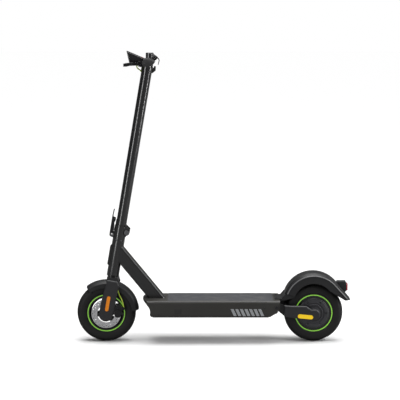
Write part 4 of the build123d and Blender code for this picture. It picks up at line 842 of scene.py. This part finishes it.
# fender skins: a rounded shell over each moulded hood
frontHood = {
    "centre": (-0.463, 0.127),
    "top": [(0, 141), (12, 140.9), (19, 140), (28, 136), (33.5, 132.6), (36.2, 131)],
    "skirt": [(36.8, 128.5), (37.2, 121), (38, 112.2)],
    "start": 126.8,
    "end": 5.8,
    "wall": 0.7,
    "steps": 120,
}
rearHood = {
    "centre": (0.4314, 0.173),
    "top": [(0, 131.5), (22, 131.4), (33, 130.8), (40, 126.5), (46.5, 121.6), (49.8, 120.6)],
    "skirt": [(50.6, 118.0), (50.9, 111), (53, 88.3)],
    "start": 160.0,
    "end": 40.0,
    "wall": 0.7,
    "steps": 120,
    "tailFloor": 187.4,
    "tailCorner": 566.0,
}


def softOutline(corners, count=64, passes=5):
    # even points along a broken line, each then averaged with its neighbours to round the corners
    corners = np.array(corners, float)
    lengths = np.concatenate([[0], np.cumsum(np.hypot(*np.diff(corners, axis=0).T))])
    even = np.linspace(0, lengths[-1], count)
    line = np.stack([np.interp(even, lengths, corners[:, axis]) for axis in (0, 1)], axis=1)
    for _ in range(passes):
        line[1:-1] = 0.25 * line[:-2] + 0.5 * line[1:-1] + 0.25 * line[2:]
    return line


def buildHood(name, hood, material, body):
    half = softOutline(hood["top"] + hood["skirt"], 56, 2)
    outer = np.concatenate([half[:0:-1] * (-1, 1), half])
    inward = np.stack([np.sign(outer[:, 0]), np.ones(len(outer))], axis=1)
    inner = outer - hood["wall"] * inward
    loop = np.concatenate([outer, inner[::-1]])
    angle = np.radians(np.linspace(hood["start"], hood["end"], hood["steps"]))[:, None]
    centre = np.array(hood["centre"]) / mm
    x = centre[0] + loop[None, :, 1] * np.cos(angle)
    z = centre[1] + loop[None, :, 1] * np.sin(angle)
    if "tailFloor" in hood:
        # past the arc every point runs on straight, to the tail's floor or the skirt's slanted edge
        lean = math.radians(hood["end"])
        along = np.array([math.sin(lean), -math.cos(lean)])
        skirt = centre + (loop[:, 1].min() + 0.2) * np.array([math.cos(lean), math.sin(lean)])
        corner = np.array([hood["tailCorner"], hood["tailFloor"]])
        edge = corner - skirt
        normal = np.array([-edge[1], edge[0]])
        start = np.stack([x[-1], z[-1]], axis=1)
        toFloor = (start[:, 1] - hood["tailFloor"]) / -along[1]
        toEdge = ((skirt - start) @ normal) / (along @ normal)
        meets = start + toFloor[:, None] * along
        shorter = np.minimum(toFloor, np.maximum(toEdge, 0.5))
        travel = np.where(meets[:, 0] >= hood["tailCorner"], toFloor, shorter)
        share = np.linspace(0, 1, 24)[1:, None]
        x = np.concatenate([x, start[None, :, 0] + share * travel * along[0]])
        z = np.concatenate([z, start[None, :, 1] + share * travel * along[1]])
    y = np.broadcast_to(loop[None, :, 0], x.shape)
    return loft(name, np.stack([x, y, z], axis=-1) * mm, material, body)


buildHood("front_fender_skin", frontHood, "fenderPlastic", "fork")
buildHood("rear_fender_skin", rearHood, "fenderPlastic", "frame")
print("fender skins made")

# fender bead: a raised line where the rear hood's top meets its skirt, its light grey a painted highlight
# along the ridge
bead = {"radius": 120.6, "side": 50.0, "thick": 2.5, "end": (576.5, 193.5)}


def buildBead(name, side):
    # round sections along the hood's arc, then straight on to the tail
    angle = np.radians(np.linspace(rearHood["start"], rearHood["end"], 140))
    centre = np.array(rearHood["centre"]) / mm
    path = centre + bead["radius"] * np.stack([np.cos(angle), np.sin(angle)], axis=1)
    share = np.linspace(0, 1, 20)[1:, None]
    path = np.concatenate([path, path[-1] + share * (np.array(bead["end"]) - path[-1])])
    ahead = np.gradient(path, axis=0)
    ahead /= np.linalg.norm(ahead, axis=1)[:, None]
    swing = np.linspace(0, 2 * np.pi, 16, endpoint=False)[None, :]
    x = path[:, :1] - ahead[:, 1:] * bead["thick"] * np.cos(swing)
    z = path[:, 1:] + ahead[:, :1] * bead["thick"] * np.cos(swing)
    y = np.broadcast_to(side * bead["side"] + bead["thick"] * np.sin(swing), x.shape)
    return loft(name, np.stack([x, y, z], axis=-1) * mm, "beadPaintedHighlight", "frame")


buildBead("left_fender_bead", -1)
buildBead("right_fender_bead", 1)
print("fender beads made")

# deck mat: a rubber sheet with chevron ribs inside a plain border
mat = {
    "front": -198.0,
    "rear": 256.0,
    "half": 73.0,
    "floor": 192.02,
    "base": 193.6,
    "rib": 0.75,
    "pitch": 9.0,
    "slope": 0.6,
    "border": 7.0,
    "corner": 10.0,
    "spineHalf": 3.0,
}


def buildMat():
    across = np.linspace(-1, 1, 74)
    along = np.linspace(mat["front"], mat["rear"], 330)
    fromEnd = np.minimum(along - mat["front"], mat["rear"] - along)
    corner = mat["corner"]
    rounded = corner - np.sqrt(np.clip(corner**2 - (corner - fromEnd) ** 2, 0, None))
    inset = np.where(fromEnd < corner, rounded, 0.0)
    half = mat["half"] - inset
    x = np.broadcast_to(along[:, None], (len(along), len(across)))
    y = across[None, :] * half[:, None]
    edge = np.minimum(half[:, None] - np.abs(y), fromEnd[:, None])
    ribs = pulse((x + np.abs(y) * mat["slope"]) / mat["pitch"], 0.42, 0.12)
    ribs = ribs * np.clip((edge - mat["border"]) / 0.8, 0, 1)
    spine = np.clip((mat["spineHalf"] - np.abs(y)) / 0.5, 0, 1)
    rim = np.clip(edge / 1.2, 0, 1)
    z = mat["floor"] + (mat["base"] - mat["floor"]) * rim**0.5 + mat["rib"] * np.clip(ribs - spine, 0, 1)
    top = np.stack([x, y, z], axis=-1)
    under = top[:, ::-1].copy()[:, [0, -1]]
    under[..., 2] = mat["floor"]
    return np.concatenate([top, under], axis=1) * mm


deckMat = loft("deck_mat_ribbed", buildMat(), "matRubber", "frame")
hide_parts("deck_mat")
print("deck mat made")

# grips: a six-sided section with a palm wing, ribbed along its length
grip = {
    "section": [(-24, 1), (-15, 17), (9, 17), (31, 1), (5, -18), (-17, -14)],
    "inner": 132.4,
    "outer": 239.6,
    "ribs": 21,
    "ribDepth": 0.035,
    "ribsFrom": 0.10,
    "ribsTo": 0.90,
    "endTaper": 0.10,
}


def buildGrip(name, side):
    corners = np.array(grip["section"] + grip["section"][:1], float)
    loop = softOutline(corners, 97, 1)[:-1]
    for _ in range(14):
        loop = 0.25 * np.roll(loop, 1, axis=0) + 0.5 * loop + 0.25 * np.roll(loop, -1, axis=0)
    share = np.linspace(0, 1, 190)[:, None]
    ribbed = np.clip((share - grip["ribsFrom"]) / 0.01, 0, 1) * np.clip((grip["ribsTo"] - share) / 0.01, 0, 1)
    rib = pulse(share * grip["ribs"], 0.34, 0.14) * ribbed
    ends = np.sqrt(np.clip(np.minimum(share, 1 - share) / 0.02, 0.05, 1))
    size = (1 - grip["ribDepth"] * rib) * (1 - grip["endTaper"] + grip["endTaper"] * ends)
    x = barCentre[0] / mm + size * loop[None, :, 0]
    z = barCentre[2] / mm + size * loop[None, :, 1]
    y = np.broadcast_to(side * (grip["inner"] + share * (grip["outer"] - grip["inner"])), x.shape)
    return loft(name, np.stack([x, y, z], axis=-1) * mm, "gripRubber", "stem", flip=side > 0)


leftGrip = buildGrip("left_grip_ribbed", -1)
rightGrip = buildGrip("right_grip_ribbed", 1)
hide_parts("grips")
print("grips made")

# brake cable: one run from the lever down the stem, and one from the head down to the caliper
leverHeight = barCentre[2] / mm - 10.0
leverSide = barCentre[0] / mm - 35.0
cable = {
    "diameter": 0.005,
    "upper": [
        np.array([leverSide, -92.0, leverHeight]) * mm,
        np.array([leverSide, -66.0, leverHeight]) * mm,
        np.array([leverSide - 19.0, -36.0, leverHeight - 11.0]) * mm,
        np.array([leverSide - 16.0, -10.0, leverHeight - 23.0]) * mm,
        onColumn(1053.5, -22.5),
        onColumn(1022),
        onColumn(392),
    ],
    "lower": [
        onColumn(378),
        onColumn(176),
        onColumn(152, 5, -9),
        onColumn(137, 21, -34),
        onColumn(120, 29, -40.8),
        onColumn(94, 40, -40.8),
        onColumn(66, 62, -42.8),
        onColumn(43.4, 69.5, -45.8),
    ],
}


def buildCable(name, route, body, node):
    curve = bpy.data.curves.new(name, "CURVE")
    curve.dimensions = "3D"
    spline = curve.splines.new("NURBS")
    spline.points.add(len(route) - 1)
    for point, place in zip(spline.points, route):
        point.co = (*place, 1.0)
    spline.order_u = 3
    spline.use_endpoint_u = True
    curve.resolution_u = 12
    curve.bevel_depth = cable["diameter"] / 2
    curve.bevel_resolution = 3
    curve.use_fill_caps = True
    curve.materials.append(materials["cableSleeve"])
    piece = bpy.data.objects.new(name, curve)
    bpy.context.scene.collection.objects.link(piece)
    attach(piece, body)
    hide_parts(node)
    return piece


buildCable("upper_brake_cable", cable["upper"], "stem", "brake_cable_upper")
buildCable("lower_brake_cable", cable["lower"], "fork", "brake_cable_lower")
print("cables made")
